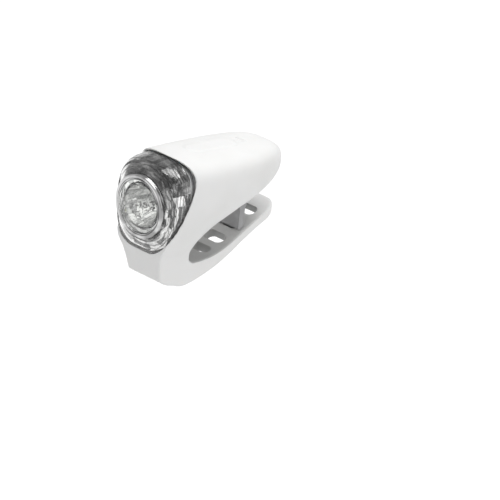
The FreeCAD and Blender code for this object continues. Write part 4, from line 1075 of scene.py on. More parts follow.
def egg_field(x: Array, z: Array, half_width: Array, top: Array, bottom: Array,
              middle: Array, power_top: Array, power_bottom: Array) -> Array:
    """About the distance to an egg section: how far out along its own ray a point lies.

    Args:
        x: places across.
        z: heights.
        half_width: the section's half width.
        top: its highest point.
        bottom: its lowest point.
        middle: height at which it is widest.
        power_top: exponent of the curve above the middle.
        power_bottom: exponent below it.

    Returns:
        The field.
    """
    rise = z - middle
    upper = rise > 0
    height = np.maximum(np.where(upper, top - middle, middle - bottom), 1e-3)
    power = np.where(upper, power_top, power_bottom)
    across = (np.abs(x) / np.maximum(half_width, 1e-3)) ** power
    size = (across + (np.abs(rise) / height) ** power) ** (1 / power)
    beyond = np.hypot(x, rise) * (1 - 1 / np.maximum(size, 1e-6)) * RAY_TO_DISTANCE
    return beyond + np.where(size < 1e-5, -1.0, 0.0)


@dataclass(frozen=True)
class BodyForm:
    """The lamp's egg-shaped body: half width, top and underside as functions of y."""

    length: float = 67.2
    half_width: float = 15.6
    widest_at: float = 26.0
    front_half_width: float = 13.4
    crown: float = 17.5
    crown_slope: float = 0.075
    crown_level_to: float = 14.0
    tail_start: float = 50.0
    tail_height: float = 5.5
    waist: float = 6.0
    belly: float = -19.0
    belly_slope: float = 0.38
    belly_level_to: float = 18.0
    crown_fullness: float = 0.82
    chin_fullness: float = 0.92
    belly_fullness: float = 0.64
    power_plan: float = 3.0
    power_top: float = 3.6
    power_belly: float = 2.6
    chin_to: float = 8.0
    belly_from: float = 30.0

    @staticmethod
    def _share(y: Array, start: float, end: float, power: float) -> Array:
        """1 ahead of start, falling to 0 at end as (1 - t^power)^(1/2.2), t the way's share."""
        t = np.clip((y - start) / (end - start), 0, 1)
        return (1 - t ** power) ** (1 / BLUNT)

    def law(self, y: Array, inset: float = 0.0) -> tuple:
        """Half width, top, bottom, middle and the two exponents of the section at y.

        Args:
            y: places along the body.
            inset: how far the section is drawn in.

        Returns:
            Six arrays shaped like y.
        """
        full = self.half_width - inset
        ahead = full - (self.half_width - self.front_half_width) * (
            np.clip(self.widest_at - y, 0, None) / (self.widest_at + 1)) ** 2
        end = self.length - inset
        behind = full * self._share(y, self.widest_at, end, self.power_plan)
        width = np.where(y < self.widest_at, ahead, behind)
        share = self._share(y, self.tail_start, end, self.power_belly)
        fall = self._share(y, self.tail_start, end, self.power_top)
        crown = self.crown - inset - self.crown_slope * np.clip(y - self.crown_level_to, 0, None)
        belly = self.belly + inset + self.belly_slope * np.clip(y - self.belly_level_to, 0, None)
        top = self.tail_height + (crown - self.tail_height) * fall
        bottom = self.tail_height - (self.tail_height - belly) * share
        middle = self.tail_height + (self.waist - self.tail_height) * share
        blend = smooth_step((y - self.chin_to) / (self.belly_from - self.chin_to))
        lower = self.chin_fullness + (self.belly_fullness - self.chin_fullness) * blend
        return width, top, bottom, middle, power_of(self.crown_fullness) + 0 * y, power_of(lower)

    def field(self, x: Array, y: Array, z: Array, inset: float = 0.0) -> Array:
        """The body's solid, drawn in by inset."""
        return np.maximum(egg_field(x, z, *self.law(y, inset)), y - (self.length - inset))

    def top_height(self, x: Array, y: Array) -> Array:
        """Height of the upper surface above a place in plan."""
        width, top, _, middle, power, _ = self.law(y)
        inwards = np.clip(1 - (np.abs(x) / width) ** power, 0, 1)
        return middle + (top - middle) * inwards ** (1 / power)

    def belly_height(self, y: float) -> float:
        """Height of the underside on the middle plane."""
        return float(self.law(np.array([y]))[2][0])


@dataclass(frozen=True)
class CoverForm:
    """The clear cover: a round rim that swells to an egg-shaped section as a blunt quarter turn."""

    front: float = 0.3
    cheek: float = 7.0
    chin: float = 2.3
    back: float = 15.0
    half_width: tuple = (12.2, 14.1, 14.6)
    top: tuple = (12.2, 16.6, 16.8)
    bottom: tuple = (-12.2, -17.6, -18.0)
    middle: tuple = (0.0, 5.0, 6.0)
    full_top: tuple = (0.5523, 0.8, 0.82)
    full_bottom: tuple = (0.5523, 0.86, 0.84)

    def law(self, y: Array, inset: float = 0.0, face_inset: float = 0.0) -> tuple:
        """Half width, top, bottom, middle and the two exponents of the section at y.

        With s the share of the way from rim to cheek, a size goes from its rim value to its cheek
        value by the root of 1 - (1 - s)^2.2, and then in a straight line to its value at the rear
        edge.

        Args:
            y: places along the cover.
            inset: how far the section is drawn in.
            face_inset: how far the swelling starts behind the cover's face.

        Returns:
            Six arrays shaped like y.
        """
        run = self.back - self.cheek
        stretched = self.back - (self.back - y) * run / (run - face_inset)
        y = np.where(y < self.cheek + face_inset, y - face_inset, stretched)
        beyond = np.clip((y - self.cheek) / run, 0, 1)

        def swell(end: float) -> Array:
            """How far the section has swelled between the rim and this place, from 0 to 1."""
            share = np.clip((y - self.front) / (end - self.front), 0, 1)
            return np.sqrt(1 - (1 - share) ** BLUNT)

        def between(sizes: Sequence[float], share: Array) -> Array:
            """A size at this share of the swelling, given at rim, cheek and rear edge."""
            return sizes[0] + (sizes[1] - sizes[0]) * share + (sizes[2] - sizes[1]) * beyond

        side, under = swell(self.cheek), swell(self.chin)
        return (between(self.half_width, side) - inset, between(self.top, side) - inset,
                between(self.bottom, under) + inset, between(self.middle, side),
                power_of(between(self.full_top, side)), power_of(between(self.full_bottom, under)))

    def field(self, x: Array, y: Array, z: Array, inset: float = 0.0) -> Array:
        """The filled cover, carried on ahead of its rim."""
        section = self.law(np.maximum(y, self.front), inset)
        return np.maximum(egg_field(x, z, *section), y - self.back)

    def ring(self, y: Array, angle: Array, inset: float = 0.0, face_inset: float = 0.0) -> Array:
        """Points of sections: the radius at an angle is where |x/w|^p + |z/h|^p is 1.

        Args:
            y: place of each section.
            angle: places round a section.
            inset: how far the sections are drawn in.
            face_inset: how far the swelling starts behind the cover's face.

        Returns:
            (sections, angles, 3) points.
        """
        width, top, bottom, middle, pt, pb = [v[:, None] for v in self.law(y, inset, face_inset)]
        c, s = np.cos(angle)[None], np.sin(angle)[None]
        height = np.where(s > 0, top - middle, middle - bottom)
        power = np.where(s > 0, pt, pb)
        radius = (np.abs(c / width) ** power + np.abs(s / height) ** power) ** (-1 / power)
        depth = np.broadcast_to(y[:, None], radius.shape)
        return np.stack([radius * c, depth, middle + radius * s], -1)


BODY = BodyForm()
COVER = CoverForm()
AHEAD = 60.0
TINY = 1e-4


# Pieces

@dataclass(frozen=True)
class Moulding:
    """The silicone skin with leg, heel and slotted strap, one moulding that bends at the heel."""

    strap_half_width: float = 8.3
    heel: tuple = ((8.2, -30.55), (12.2, -31.8))
    strap_line: tuple = ((12.2, -31.8), (16.3, -33.0), (21.5, -32.6), (28.0, -31.0), (34.5, -28.8),
                         (41.0, -25.7), (47.5, -22.0), (54.0, -18.7), (59.5, -16.4), (66.0, -14.7))
    chin: tuple = ((0.5, -13.5), (4.6, -28.3))
    cheek: tuple = ((7.2, -4.7), (12.6, 9.0))
    brow: tuple = ((12.7, 13.6), (11.0, 17.5))
    corner_reach: float = 3.4
    corner_share: float = 0.1
    taper_at: float = 52.0
    thickest_at: float = 16.3
    thickness: tuple = (3.5, 10.4)
    inner_from: float = 23.0
    throat: tuple = ((20.9, -24.3), (18.7, -22.7), (17.8, -20.2), (17.7, -17.0))
    leg_top: tuple = ((17.7, -8.0), (-3.0, -8.0), (-0.88, -8.53))
    leg_heights: tuple = (-28.5, -23.3, -18.0, -13.5, -8.0)
    leg_half_widths: tuple = (8.3, 9.0, 10.2, 11.2, 11.2)
    leg_back: float = 17.7
    leg_fades_over: float = 5.0
    tip_from: float = 50.0
    slots_at: tuple = (33.7, 41.3, 48.9, 56.5)
    slot_half_length: float = 4.8
    slot_half_width: float = 2.3
    slot_reach: float = 9.0
    edge_radius: float = 0.9
    slot_radius: float = 0.45
    leg_corner: tuple = (-16.2, 6.0)
    saddle_line: tuple = ((40.5, -6.0, 4.0), (54.5, -5.1, 0.0))
    saddle_radius: float = 1.1
    leg_fillet: float = 2.0
    front_radius: float = 0.6
    cover_gap: float = 0.06
    cover_radius: float = 0.3
    pad_radius: float = 0.1
    plug_radius: float = 0.2
    hollow_from: float = 15.1
    pad_room: tuple = (21.3, 45.7, 4.3)
    pad_floor: float = 1.0
    wall: float = 2.0
    step: float = 0.4

    def _strap_lines(self) -> tuple[Array, Array, Array]:
        """Outer, middle and inner lines of the strap.

        The inner line is the outer one moved along its normal by a thickness that falls as the
        square of the distance to the end of its taper.
        """
        outer = curve_through(self.strap_line)
        slope = np.gradient(outer, axis=0)
        slope /= np.linalg.norm(slope, axis=1, keepdims=True)
        taper = np.clip((self.taper_at - outer[:, 0]) / (self.taper_at - self.thickest_at), 0, None)
        thick = (self.thickness[0] + (self.thickness[1] - self.thickness[0]) * taper ** 2)[:, None]
        normal = np.stack([-slope[:, 1], slope[:, 0]], 1)
        return outer, outer + normal * thick / 2, outer + normal * thick

    def _slot(self, x: Array, y: Array, z: Array, middle: Array, place: float) -> Array:
        """Field of one slot: a strip with round ends across the strap, carried along its normal.

        Args:
            x: places across.
            y: places along.
            z: heights.
            middle: the strap's middle line.
            place: y of the slot's middle.

        Returns:
            The field.
        """
        i = int(np.argmin(np.abs(middle[:, 0] - place)))
        run = middle[i + 1] - middle[i - 1]
        run = run / np.linalg.norm(run)
        along = (y - middle[i, 0]) * run[0] + (z - middle[i, 1]) * run[1]
        depth = (z - middle[i, 1]) * run[0] - (y - middle[i, 0]) * run[1]
        straight = self.slot_half_length - self.slot_half_width
        slot = np.hypot(np.maximum(np.abs(x) - straight, 0.0), along) - self.slot_half_width
        return np.maximum(slot, np.abs(depth) - self.slot_reach)

    def _lower(self, x: Array, y: Array, z: Array) -> Array:
        """Leg, heel and strap: their side view carried across, with the strap's tip and slots.

        Args:
            x: places across.
            y: places along.
            z: heights.

        Returns:
            The field.
        """
        outer, middle, inner = self._strap_lines()
        inner = inner[inner[:, 0] > self.inner_from]
        heel = curve_through([self.chin[1], *self.heel], 6)[:-1]
        throat = curve_through([inner[0], *self.throat], 5)
        side = side_view(y, z, np.vstack([heel, outer, inner[::-1], throat[1:], self.leg_top]))
        behind = np.clip((y - self.leg_back) / self.leg_fades_over, 0, 1)
        width = np.interp(z, self.leg_heights, self.leg_half_widths)
        width = width + (self.strap_half_width - width) * behind
        tip = stadium(x, y, -AHEAD, self.strap_line[-1][0], self.strap_half_width)
        across = np.maximum(np.abs(x) - width, np.where(y > self.tip_from, tip, -AHEAD))
        solid = meet(side, across, self.edge_radius)
        for place in self.slots_at:
            solid = meet(solid, -self._slot(x, y, z, middle, place), self.slot_radius)
        return solid

    def _saddle(self) -> Array:
        """Side view of the room under the body: leg, rising saddle line, and the hook's pad."""
        rear = self.saddle_line[-1][0]
        return rounded_corners([(self.leg_back, -AHEAD, 0), (self.leg_back, *self.leg_corner),
                                *self.saddle_line, (rear, -AHEAD, 0)])

    def _front(self) -> Array:
        """Side view of what lies ahead of the skin's front edge: chin, swept cheek and brow.

        The corner between chin and cheek is bent: start (1 - t)^2 + corner 2 t (1 - t) + end t^2.
        """
        (ty, tz), (by, bz) = self.chin
        below = [by + 2 * (by - ty), bz + 2 * (bz - tz)]
        cheek = arc_through(self.chin[0], *self.cheek)
        corner = cheek[0]
        cheek = cheek[np.hypot(*(cheek - corner).T) > self.corner_reach]
        start = corner + (np.array(below) - corner) * self.corner_share
        t = np.linspace(0, 1, 9)[:-1, None]
        bend = start * (1 - t) ** 2 + corner * 2 * t * (1 - t) + cheek[0] * t ** 2
        brow = arc_through(self.cheek[1], *self.brow, steps=13)[1:]
        around = [[self.brow[1][0], AHEAD], [-AHEAD, AHEAD], [-AHEAD, below[1]]]
        return np.vstack([[below], bend, cheek, brow, around])

    def field(self, x: Array, y: Array, z: Array) -> Array:
        """The whole moulding: body cut by the saddle, joined to the leg, opened in front, hollowed.

        Args:
            x: places across.
            y: places along.
            z: heights.

        Returns:
            The field.
        """
        room = side_view(y, z, self._saddle())
        body = meet(BODY.field(x, y, z), -room, self.saddle_radius)
        solid = join(body, self._lower(x, y, z), self.leg_fillet)
        solid = meet(solid, -side_view(y, z, self._front()), self.front_radius)
        solid = meet(solid, -COVER.field(x, y, z, -self.cover_gap), self.cover_radius)
        hollow = np.maximum(BODY.field(x, y, z, self.wall), self.wall - room)
        solid = np.maximum(solid, -np.maximum(hollow, self.hollow_from - y))
        pad_room = np.maximum(stadium(x, y, *self.pad_room), -BODY.field(x, y, z, self.pad_floor))
        solid = meet(solid, -np.maximum(pad_room, -z), self.pad_radius)
        return meet(solid, -PLUG.room(x, y, z), self.plug_radius)

    def build(self, material: Material) -> Object:
        """Mesh the moulding and bake its transform."""
        points, quads = FieldMesh(self.field, (-17, -1.6, -35), (17, 69.2, 19.5), self.step).build()
        piece = Piece("silicone_moulding", "", "skin", ("silicone_sleeve", "strap"), 42.0)
        made = piece.build(points, quads, material)
        above, below = to_row([[0, 11.2, -18.8]])[0], to_row([[0, 13.2, -25.5]])[0]
        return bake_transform(made)


@dataclass(frozen=True)
class PortPlug:
    """Silicone plug that closes the charging port under the tail."""

    hinge_y: float = 61.2
    front_y: float = 54.2
    half_width: float = 5.2
    room_depth: float = 5.0
    gap: float = 0.12
    corner_radius: float = 1.2
    thickness: float = 1.5
    stem: tuple = ((0, 3.1, -1.8), (4.1, 1.9, 0.85), 0.3)

    def _axes(self) -> tuple[float, float, float, float]:
        """Hinge height, the underside's direction towards the front, and the plug's length."""
        hinge_z = BODY.belly_height(self.hinge_y)
        run, fall = self.hinge_y - self.front_y, hinge_z - BODY.belly_height(self.front_y)
        length = math.hypot(run, fall)
        return hinge_z, run / length, fall / length, length

    def _local(self, y: Array, z: Array) -> tuple[Array, Array, float]:
        """Distance forwards from the hinge line and outwards from the underside."""
        hinge_z, c, s, length = self._axes()
        u = -(y - self.hinge_y) * c - (z - hinge_z) * s
        v = (y - self.hinge_y) * s - (z - hinge_z) * c
        return u, v, length

    def room(self, x: Array, y: Array, z: Array) -> Array:
        """The opening in the skin."""
        u, v, length = self._local(y, z)
        plan = np.maximum(np.abs(x) - self.half_width, np.abs(u - length / 2) - length / 2)
        return np.maximum(plan, np.abs(v) - self.room_depth)

    def field(self, x: Array, y: Array, z: Array) -> Array:
        """Cap with rounded corners that follows the body, and its stem."""
        u, v, length = self._local(y, z)
        across = np.abs(x) - self.half_width + self.gap
        plan = meet(across, np.abs(u - length / 2) - length / 2 + self.gap, self.corner_radius)
        cap = meet(meet(plan, -self.thickness - v, 0.2), BODY.field(x, y, z, -0.02), 0.35)
        return np.minimum(cap, soft_box(x, u, v, *self.stem))

    def build(self, material: Material) -> Object:
        """Mesh the plug."""
        points, quads = FieldMesh(self.field, (-5.7, 52.9, -5.7), (5.7, 62.3, 2.6), 0.26).build()
        piece = Piece("port_plug_skin", "plug", "skin", ("port_plug",), 50.0)
        return piece.build(points, quads, material)


PLUG = PortPlug()


@dataclass(frozen=True)
class ButtonPad:
    """Long raised pad over the switch."""

    start: float = 21.0
    end: float = 46.0
    half_width: float = 4.6
    rise: float = 0.4
    proud: float = 0.03
    sunk: float = 0.35
    overlap: float = 0.05
    feather: float = 1.5
    around: int = 120
    rings: int = 14

    def build(self, material: Material) -> Object:
        """Grid of rings from the pad's spine to its edge and back underneath.

        The top follows the body's surface and stands rise above it, falling to a feather edge over
        the last millimetres; the underside lies sunk below the surface.

        Args:
            material: the finish.

        Returns:
            The pad.
        """
        angle = turn_angles(self.around)
        ends = self.end - self.half_width, self.start + self.half_width
        spine = np.where(np.sin(angle) > 0, *ends)
        share = 1 - (1 - np.linspace(0, 1, self.rings)) ** 1.5
        edge = self.half_width + self.overlap
        reach = share * edge
        x = reach[:, None] * np.cos(angle)
        y = spine + reach[:, None] * np.sin(angle)
        lift = smooth_step((edge - reach) / self.feather)[:, None] * self.rise + self.proud
        surface = BODY.top_height(x, y)
        top = np.stack([x, y, surface + lift], -1)
        under = np.stack([x, y, surface - self.sunk], -1)[::-1]
        points = np.concatenate([top, under]).reshape(-1, 3)
        faces = grid_faces(2 * self.rings, self.around)[:, ::-1]
        piece = Piece("button_pad", "button", "button_skin", ("power_button",), 60.0)
        return piece.build(points, faces, material)


@dataclass(frozen=True)
class FrontOptics:
    """Clear cover, window lens, bright ring, reflector and emitter."""

    lens_radius: float = 9.9
    lens_bulge: float = 1.9
    lens_rim: float = -0.9
    lens_back: tuple = (
        (9.9, 1.0), (9.9, 1.62), (10.8, 1.62), (10.9, 1.72), (10.9, 2.3), (10.8, 2.4), (8.35, 2.4),
        (8.2, 2.3), (8.15, 1.3), (8.0, 1.15), (7.8, 1.15), (7.65, 1.3), (7.6, 2.2), (7.45, 2.35),
        (6.0, 2.15), (4.5, 1.95), (3.0, 1.8), (1.5, 1.72), (0.0, 1.7))
    ring_section: tuple = (
        (10.02, 0.3), (10.02, -0.9), (10.1, -1.12), (10.22, -1.2), (10.36, -1.16), (10.44, -0.95),
        (10.5, -0.7), (10.6, -0.7), (10.66, -0.95), (10.76, -1.14), (11.0, -1.2), (11.4, -1.18),
        (11.7, -1.08), (11.88, -0.92), (11.98, -0.7), (12.0, -0.4), (12.0, 0.3))
    wall: float = 1.3
    side_wall: float = 0.9
    side_ends: tuple = (9.0, 12.0, 15.0)
    around: int = 192
    mouth: float = 8.0
    neck: float = 2.7
    bowl_front: float = 2.5
    bowl_depth: float = 9.2
    bowl_wall: float = 0.6
    bowl_facets: int = 20
    bowl_rings: int = 4
    plate_radius: float = 11.05
    shroud: tuple = ((1.25, 0.86), (2.1, 0.86), (2.25, 1.2), (2.8, 1.2), (2.95, 0.86), (3.7, 0.86),
                     (3.85, 1.2), (4.5, 1.2), (4.65, 0.86), (6.4, 0.86), (8.6, 0.86), (11.1, 0.86))
    stepped_from: int = 9
    step_share: float = 0.016
    step_points: int = 3
    shroud_wall: float = 2.2
    shroud_back: float = 3.1
    bowl_back: tuple = (0.08, 0.4, 0.7, 1.0)
    bowl_gap: float = 0.1
    dome: tuple = (1.3, 1.15, 11.9)
    chip: tuple = ((0, 12.2, 0), (1.72, 0.3, 1.72), 0.08)

    def cover(self, material: Material) -> Object:
        """Closed band: face from the hole outwards, rounded shoulder, side, rear edge, and inside.

        The sections stand closest near the face, by 1 - cosine of a quarter turn's share.

        Args:
            material: the finish.

        Returns:
            The cover.
        """
        angle = turn_angles(self.around)
        wall = self.side_wall
        share = 1 - np.cos(np.linspace(0, 0.5, 26) * np.pi)
        swell = COVER.front + (COVER.cheek - COVER.front) * share
        side = np.concatenate([swell, np.linspace(COVER.cheek, COVER.back, 9)[1:]])
        outer = COVER.ring(side, angle)
        inner = COVER.ring(np.append(swell[swell < 6.0] + wall, self.side_ends), angle, wall, wall)
        hole = self.lens_radius + 0.1
        rows = [circles(angle, hole, COVER.front), *outer, *inner[::-1],
                circles(angle, hole, COVER.front + self.wall)]
        piece = Piece("clear_cover", "lamp", "clear_cover", ("lens_cover",), 32.0)
        return piece.build(*band(rows), material)

    def lens(self, material: Material) -> Object:
        """Window lens: spherical front, step, flange behind the cover, and a dished, grooved back.

        The front's radius of curvature is (radius^2 + bulge^2) / (2 bulge).
        """
        curve = (self.lens_radius ** 2 + self.lens_bulge ** 2) / (2 * self.lens_bulge)
        r = self.lens_radius * np.sin(np.linspace(0.0, 1.0, 26) * np.pi / 2)
        front = self.lens_rim - self.lens_bulge + curve - np.sqrt(curve ** 2 - r ** 2)
        profile = [(max(a, TINY), b) for a, b in [*zip(r, front), *self.lens_back]]
        piece = Piece("window_lens", "lamp", "clear_lens", ("dome_lens",), 30.0)
        return piece.build(*turned(profile, 120, closed=False), material)

    def ring(self, material: Material) -> Object:
        """Bright ring: a band round the lens with a stepped, rounded front."""
        piece = Piece("bright_ring", "lamp", "bright_ring", ("bezel_ring",), 30.0)
        return piece.build(*turned(self.ring_section, 160), material)

    def _bowl_radius(self, share: Sizes) -> Sizes:
        """Radius of the bowl's parabola: its square goes evenly from the mouth's to the neck's."""
        return np.sqrt(self.mouth ** 2 + (self.neck ** 2 - self.mouth ** 2) * share)

    def reflector(self, material: Material) -> Object:
        """Bowl of flat facets, front plate and faceted shroud, as one closed band.

        The bowl's facets are a coarse grid on the parabola; alternate rings are turned by half a
        facet.

        Args:
            material: the finish.

        Returns:
            The reflector.
        """
        angle = turn_angles(4 * self.bowl_facets)
        turns = 0.0, np.pi / self.bowl_facets
        shapes = [self._facets(angle + turn, self.bowl_facets) for turn in turns]
        rows = []
        for i, share in enumerate(np.linspace(1, 0, self.bowl_rings * 2 + 1)):
            radius = self._bowl_radius(share) * shapes[(i // 2) % 2]
            rows.append(circles(angle, radius, self.bowl_front + self.bowl_depth * share))
        rows.append(circles(angle, self.plate_radius, self.bowl_front))
        plate = [COVER.ring(np.array([depth]), angle, inset, inset)[0]
                 for depth, inset in self.shroud]
        even = (np.arange(len(angle)) // self.step_points) % 2 == 0
        steps = np.where(even, 1.0, 1.0 - self.step_share)
        for row in plate[self.stepped_from:]:
            centre = row.mean(axis=0)
            for axis in (0, 2):
                row[:, axis] = centre[axis] + (row[:, axis] - centre[axis]) * steps
        ends = np.array([self.shroud[-1][0], self.shroud_back])
        back = COVER.ring(ends, angle, self.shroud_wall, self.wall)
        front, depth = self.bowl_front + self.bowl_gap, self.bowl_depth - self.bowl_gap
        outside = [circles(angle, self._bowl_radius(s) + self.bowl_wall, front + depth * s)
                   for s in self.bowl_back]
        piece = Piece("faceted_reflector", "lamp", "mirror_bowl", ("reflector",), 4.0)
        return piece.build(*band([*rows, *plate, *back, *outside]), material)

    @staticmethod
    def _facets(angle: Array, count: int) -> Array:
        """Radius factor for a polygon: cos(half a side) / cos(angle from the side's middle)."""
        half = np.pi / count
        return np.cos(half) / np.cos((angle % (2 * half)) - half)

    def emitter(self, ceramic: Material, phosphor: Material) -> list:
        """The emitter's square base, and its dome as a half ellipse turned about the axis.

        Args:
            ceramic: finish of the base.
            phosphor: finish of the dome.

        Returns:
            The two objects.
        """
        base = FieldMesh(lambda x, y, z: soft_box(x, y, z, *self.chip),
                         (-2, 11.6, -2), (2, 12.8, 2), 0.12).build()
        radius, height, foot = self.dome
        t = np.linspace(0, np.pi / 2, 14)
        profile = [(max(radius * math.sin(a), TINY), foot - height * math.cos(a)) for a in t]
        dome = turned([*profile, (TINY, foot - 0.02)], 48, closed=False)
        under = Piece("emitter_base", "lamp", "emitter", ("led_emitter",), 40.0)
        over = Piece("emitter_dome", "lamp", "emitter", (), 40.0)
        return [under.build(*base, ceramic), over.build(*dome, phosphor)]


@dataclass(frozen=True)
class Hook:
    """Moulded hook under the body: flange, thick root, plate with a wide front, neck and foot.

    Each block is given by its middle, half its sizes and its edges' radius, y being counted from
    front_y.
    """

    front_y: float = 47.7
    flange: tuple = ((0, 0.35, -4.45), (7.0, 3.45, 0.55), 0.2)
    root: tuple = ((0, 1.8, -7.9), (4.5, 1.8, 3.0), 0.25)
    plate: tuple = ((0, 1.1, -10.6), (4.5, 1.1, 6.0), 0.3)
    neck: tuple = ((0, 1.1, -19.5), (3.4, 1.0, 3.6), 0.25)
    foot: tuple = ((0, 1.4, -23.3), (3.4, 1.4, 1.1), 0.45)
    foot_front: float = 0.1
    shoulder: tuple = ((-2.2, -5.75, 0.3), (-2.2, -18.4, 0.5), (0.5, -17.2, 0.3), (0.5, -5.75, 0.3))
    shoulder_half_width: float = 6.8
    fillet: float = 0.3

    def field(self, x: Array, y: Array, z: Array) -> Array:
        """Union of the blocks and the shoulder with small fillets between them."""
        y = y - self.front_y
        solid = soft_box(x, y, z, *self.flange)
        for block in (self.root, self.plate, self.neck):
            solid = join(solid, soft_box(x, y, z, *block), self.fillet)
        foot = np.maximum(soft_box(x, y, z, *self.foot), self.foot_front - y)
        side = side_view(y, z, rounded_corners(self.shoulder, 5))
        shoulder = meet(side, np.abs(x) - self.shoulder_half_width, self.fillet)
        return join(join(solid, foot, self.fillet), shoulder, self.fillet)

    def build(self, material: Material) -> Object:
        """Mesh the hook."""
        points, quads = FieldMesh(self.field, (-7.6, 43.6, -25), (7.6, 52.2, -3.4), 0.3).build()
        piece = Piece("strap_hook", "lamp", "grey_plastic", ("hook",), 45.0)
        return piece.build(points, quads, material)


class NodeFinish(Enum):
    """Finish of each solid that is shown as it is."""

    SHELL = MouldedPlastic("housing_plastic", (0.74, 0.75, 0.76), 0.45)
    SEAL = MouldedPlastic("seal_rubber", (0.2, 0.2, 0.21), 0.6, 0.5)
    SCREW = PlatedMetal("plated_screw", (0.55, 0.56, 0.58))
    STAR_BOARD = PlatedMetal("white_aluminium_board", (0.82, 0.83, 0.83), 0.35)
    LEAD = MouldedPlastic("black_insulation", (0.02, 0.02, 0.022), 0.4)
    RED_LEAD = MouldedPlastic("red_insulation", (0.5, 0.02, 0.015), 0.4)
    BOARD = CircuitBoard("green_board")
    CELL_BOARD = CircuitBoard("protection_board", pitch_mm=0.9)
    CHIP = MouldedPlastic("chip_package", (0.018, 0.018, 0.02), 0.42, 0.12)
    COIL = MouldedPlastic("ferrite_can", (0.05, 0.05, 0.055), 0.55, 0.2)
    CERAMIC = MouldedPlastic("tan_ceramic", (0.36, 0.24, 0.13), 0.35, 0.2)
    SWITCH = MouldedPlastic("switch_black", (0.03, 0.03, 0.032), 0.35)
    PLUNGER = MouldedPlastic("plunger_white", (0.78, 0.78, 0.74), 0.4)
    PIPE = MouldedPlastic("milky_light_pipe", (0.84, 0.84, 0.83), 0.25, 0.4, 0.01, 1.03)
    LED_CHIP = MouldedPlastic("status_led_case", (0.8, 0.78, 0.6), 0.25, 0.1)
    SOCKET = PlatedMetal("socket_shell", (0.68, 0.69, 0.7), 0.22)
    CELL = FoilPouch()
    PAD = Foam()


FINISHED_NODES = {
    NodeFinish.SHELL: ("lower_housing", "upper_housing"),
    NodeFinish.SEAL: ("housing_seal", "cover_seal"),
    NodeFinish.SCREW: ("housing_screws", "board_screws", "hook_screws", "led_board_screws"),
    NodeFinish.STAR_BOARD: ("led_board",),
    NodeFinish.LEAD: ("led_leads",),
    NodeFinish.RED_LEAD: ("battery_leads",),
    NodeFinish.BOARD: ("main_board",),
    NodeFinish.CELL_BOARD: ("cell_board",),
    NodeFinish.CHIP: ("charge_chip", "driver_chip"),
    NodeFinish.COIL: ("inductor",),
    NodeFinish.CERAMIC: ("capacitors",),
    NodeFinish.SWITCH: ("switch_body",),
    NodeFinish.PLUNGER: ("switch_plunger",),
    NodeFinish.PIPE: ("charge_window",),
    NodeFinish.LED_CHIP: ("status_led",),
    NodeFinish.SOCKET: ("usb_socket",),
    NodeFinish.CELL: ("battery_cell",),
    NodeFinish.PAD: ("foam_pad",),
}


def finish_nodes(nodes: dict) -> None:
    """Give each shown solid its finish.

    Args:
        nodes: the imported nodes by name.
    """
    for finish, names in FINISHED_NODES.items():
        material = finish.value.make()
        for name in names:
            mesh = nodes[name].data
            mesh.materials.clear()
            mesh.materials.append(material)
            LOG.info("%s: %s", name, finish.value.name)


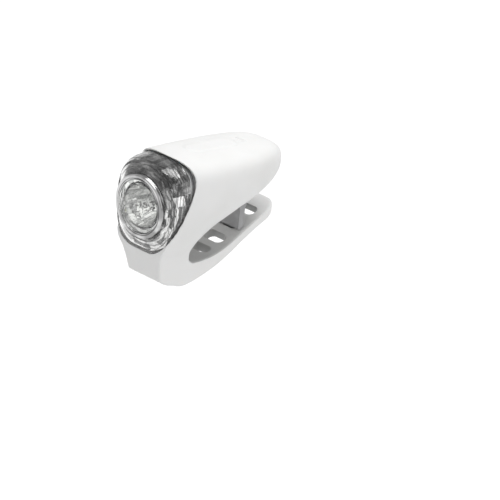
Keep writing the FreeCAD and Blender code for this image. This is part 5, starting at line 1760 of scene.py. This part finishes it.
@dataclass(frozen=True)
class Studio:
    """Camera at the photograph's angle, soft lamps, white surroundings and a pale floor."""

    azimuth: float = 42.5
    elevation: float = 23.2
    roll: float = 5.4
    distance: float = 1.6
    sensor: float = 36.0
    frame_width: float = 0.17986
    aim: tuple = (0.03942, -0.01586)
    fill: float = 0.78
    lamps: tuple = (("high_lamp", (0.0, 0.06, 0.65), 0.5, 2.15),
                    ("side_lamp", (0.6, -0.1, 0.25), 0.4, 0.65))
    floor_drop: float = 0.0635
    floor_rings: tuple = (0.0001, 0.2, 1.0, 4.0)
    floor_around: int = 64

    def camera(self) -> None:
        """Long lens whose frame is frame_width across at the window; aim shifts it off centre."""
        a, e, r = (math.radians(v) for v in (self.azimuth, self.elevation, self.roll))
        right = Vector((math.cos(a), math.sin(a), 0))
        up = Vector((-math.sin(a) * math.sin(e), math.cos(a) * math.sin(e), math.cos(e)))
        back = Vector((math.sin(a) * math.cos(e), -math.cos(a) * math.cos(e), math.sin(e)))
        u, v = right * math.cos(r) + up * math.sin(r), up * math.cos(r) - right * math.sin(r)
        data = bpy.data.cameras.new("photo_camera")
        data.sensor_width = self.sensor
        data.lens = self.sensor * self.distance / self.frame_width
        camera = placed("photo_camera", data)
        window = Vector(to_row([[0, 0, 0]])[0])
        place = window + u * self.aim[0] + v * self.aim[1] + back * self.distance
        camera.matrix_world = Matrix.Translation(place) @ Matrix((u, v, back)).transposed().to_4x4()
        bpy.context.scene.camera = camera

    @staticmethod
    def lamp(name: str, place: Sequence[float], size: float, power: float) -> None:
        """Square soft lamp aimed at the object.

        Args:
            name: of the lamp.
            place: where it stands.
            size: of its side.
            power: in watts.
        """
        data = bpy.data.lights.new(name, "AREA")
        data.size = size
        data.energy = power
        lamp = placed(name, data)
        lamp.location = place
        lamp.rotation_mode = "QUATERNION"
        lamp.rotation_quaternion = (-Vector(place)).to_track_quat("-Z", "Y")

    def light(self) -> None:
        """World that fills softly and is white where it is seen, a high lamp and a side lamp."""
        world = bpy.data.worlds.new("studio")
        world.use_nodes = True
        sky = Nodes(world.node_tree)
        direct = sky.node("ShaderNodeLightPath").out("Is Camera Ray")
        fill = sky.node("ShaderNodeBackground", None, {"Strength": self.fill}).out("Background")
        white = {"Color": WHITE, "Strength": 1.0}
        seen = sky.node("ShaderNodeBackground", None, white).out("Background")
        mixed = sky.node("ShaderNodeMixShader", None, {"Fac": direct, 1: fill, 2: seen})
        sky.node("ShaderNodeOutputWorld", None, {"Surface": mixed.out("Shader")})
        bpy.context.scene.world = world
        for lamp in self.lamps:
            self.lamp(*lamp)

    def floor(self) -> None:
        """Large round pale floor just below the reach of the open strap."""
        points = circles(turn_angles(self.floor_around), np.array(self.floor_rings)[:, None], 0.0)
        points = points[..., [0, 2, 1]] - [0, 0, self.floor_drop]
        mesh = bpy.data.meshes.new("floor")
        faces = grid_faces(len(self.floor_rings), self.floor_around)
        mesh.from_pydata(points.reshape(-1, 3).tolist(), [], faces.tolist())
        mesh.materials.append(FloorWhite().make())
        placed("floor", mesh)

    def build(self) -> None:
        """Camera first, then light and floor."""
        self.camera()
        self.light()
        self.floor()
        bpy.context.scene.view_settings.view_transform = "Standard"


def main() -> None:
    """Build the studio and every piece, in order."""
    logging.basicConfig(level=logging.INFO, format="%(name)s %(message)s")
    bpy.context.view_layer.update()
    Studio().build()
    silicone = Silicone().make()
    finish_nodes(frame["nodes"])
    Moulding().build(silicone)
    PLUG.build(silicone)
    ButtonPad().build(silicone)
    optics = FrontOptics()
    optics.cover(ClearPlastic("clear_cover_plastic").make())
    optics.lens(ClearPlastic("clear_lens_plastic", (0.98, 0.985, 0.98), 0.01).make())
    optics.ring(PolishedRing().make())
    optics.reflector(MirrorCoat("reflector_coat").make())
    ceramic = MouldedPlastic("emitter_ceramic", (0.8, 0.8, 0.76), 0.4).make()
    optics.emitter(ceramic, Phosphor().make())
    Hook().build(MouldedPlastic("hook_nylon", (0.33, 0.33, 0.335), 0.5, 0.2, 0.02).make())


if __name__ == "__main__":
    main()
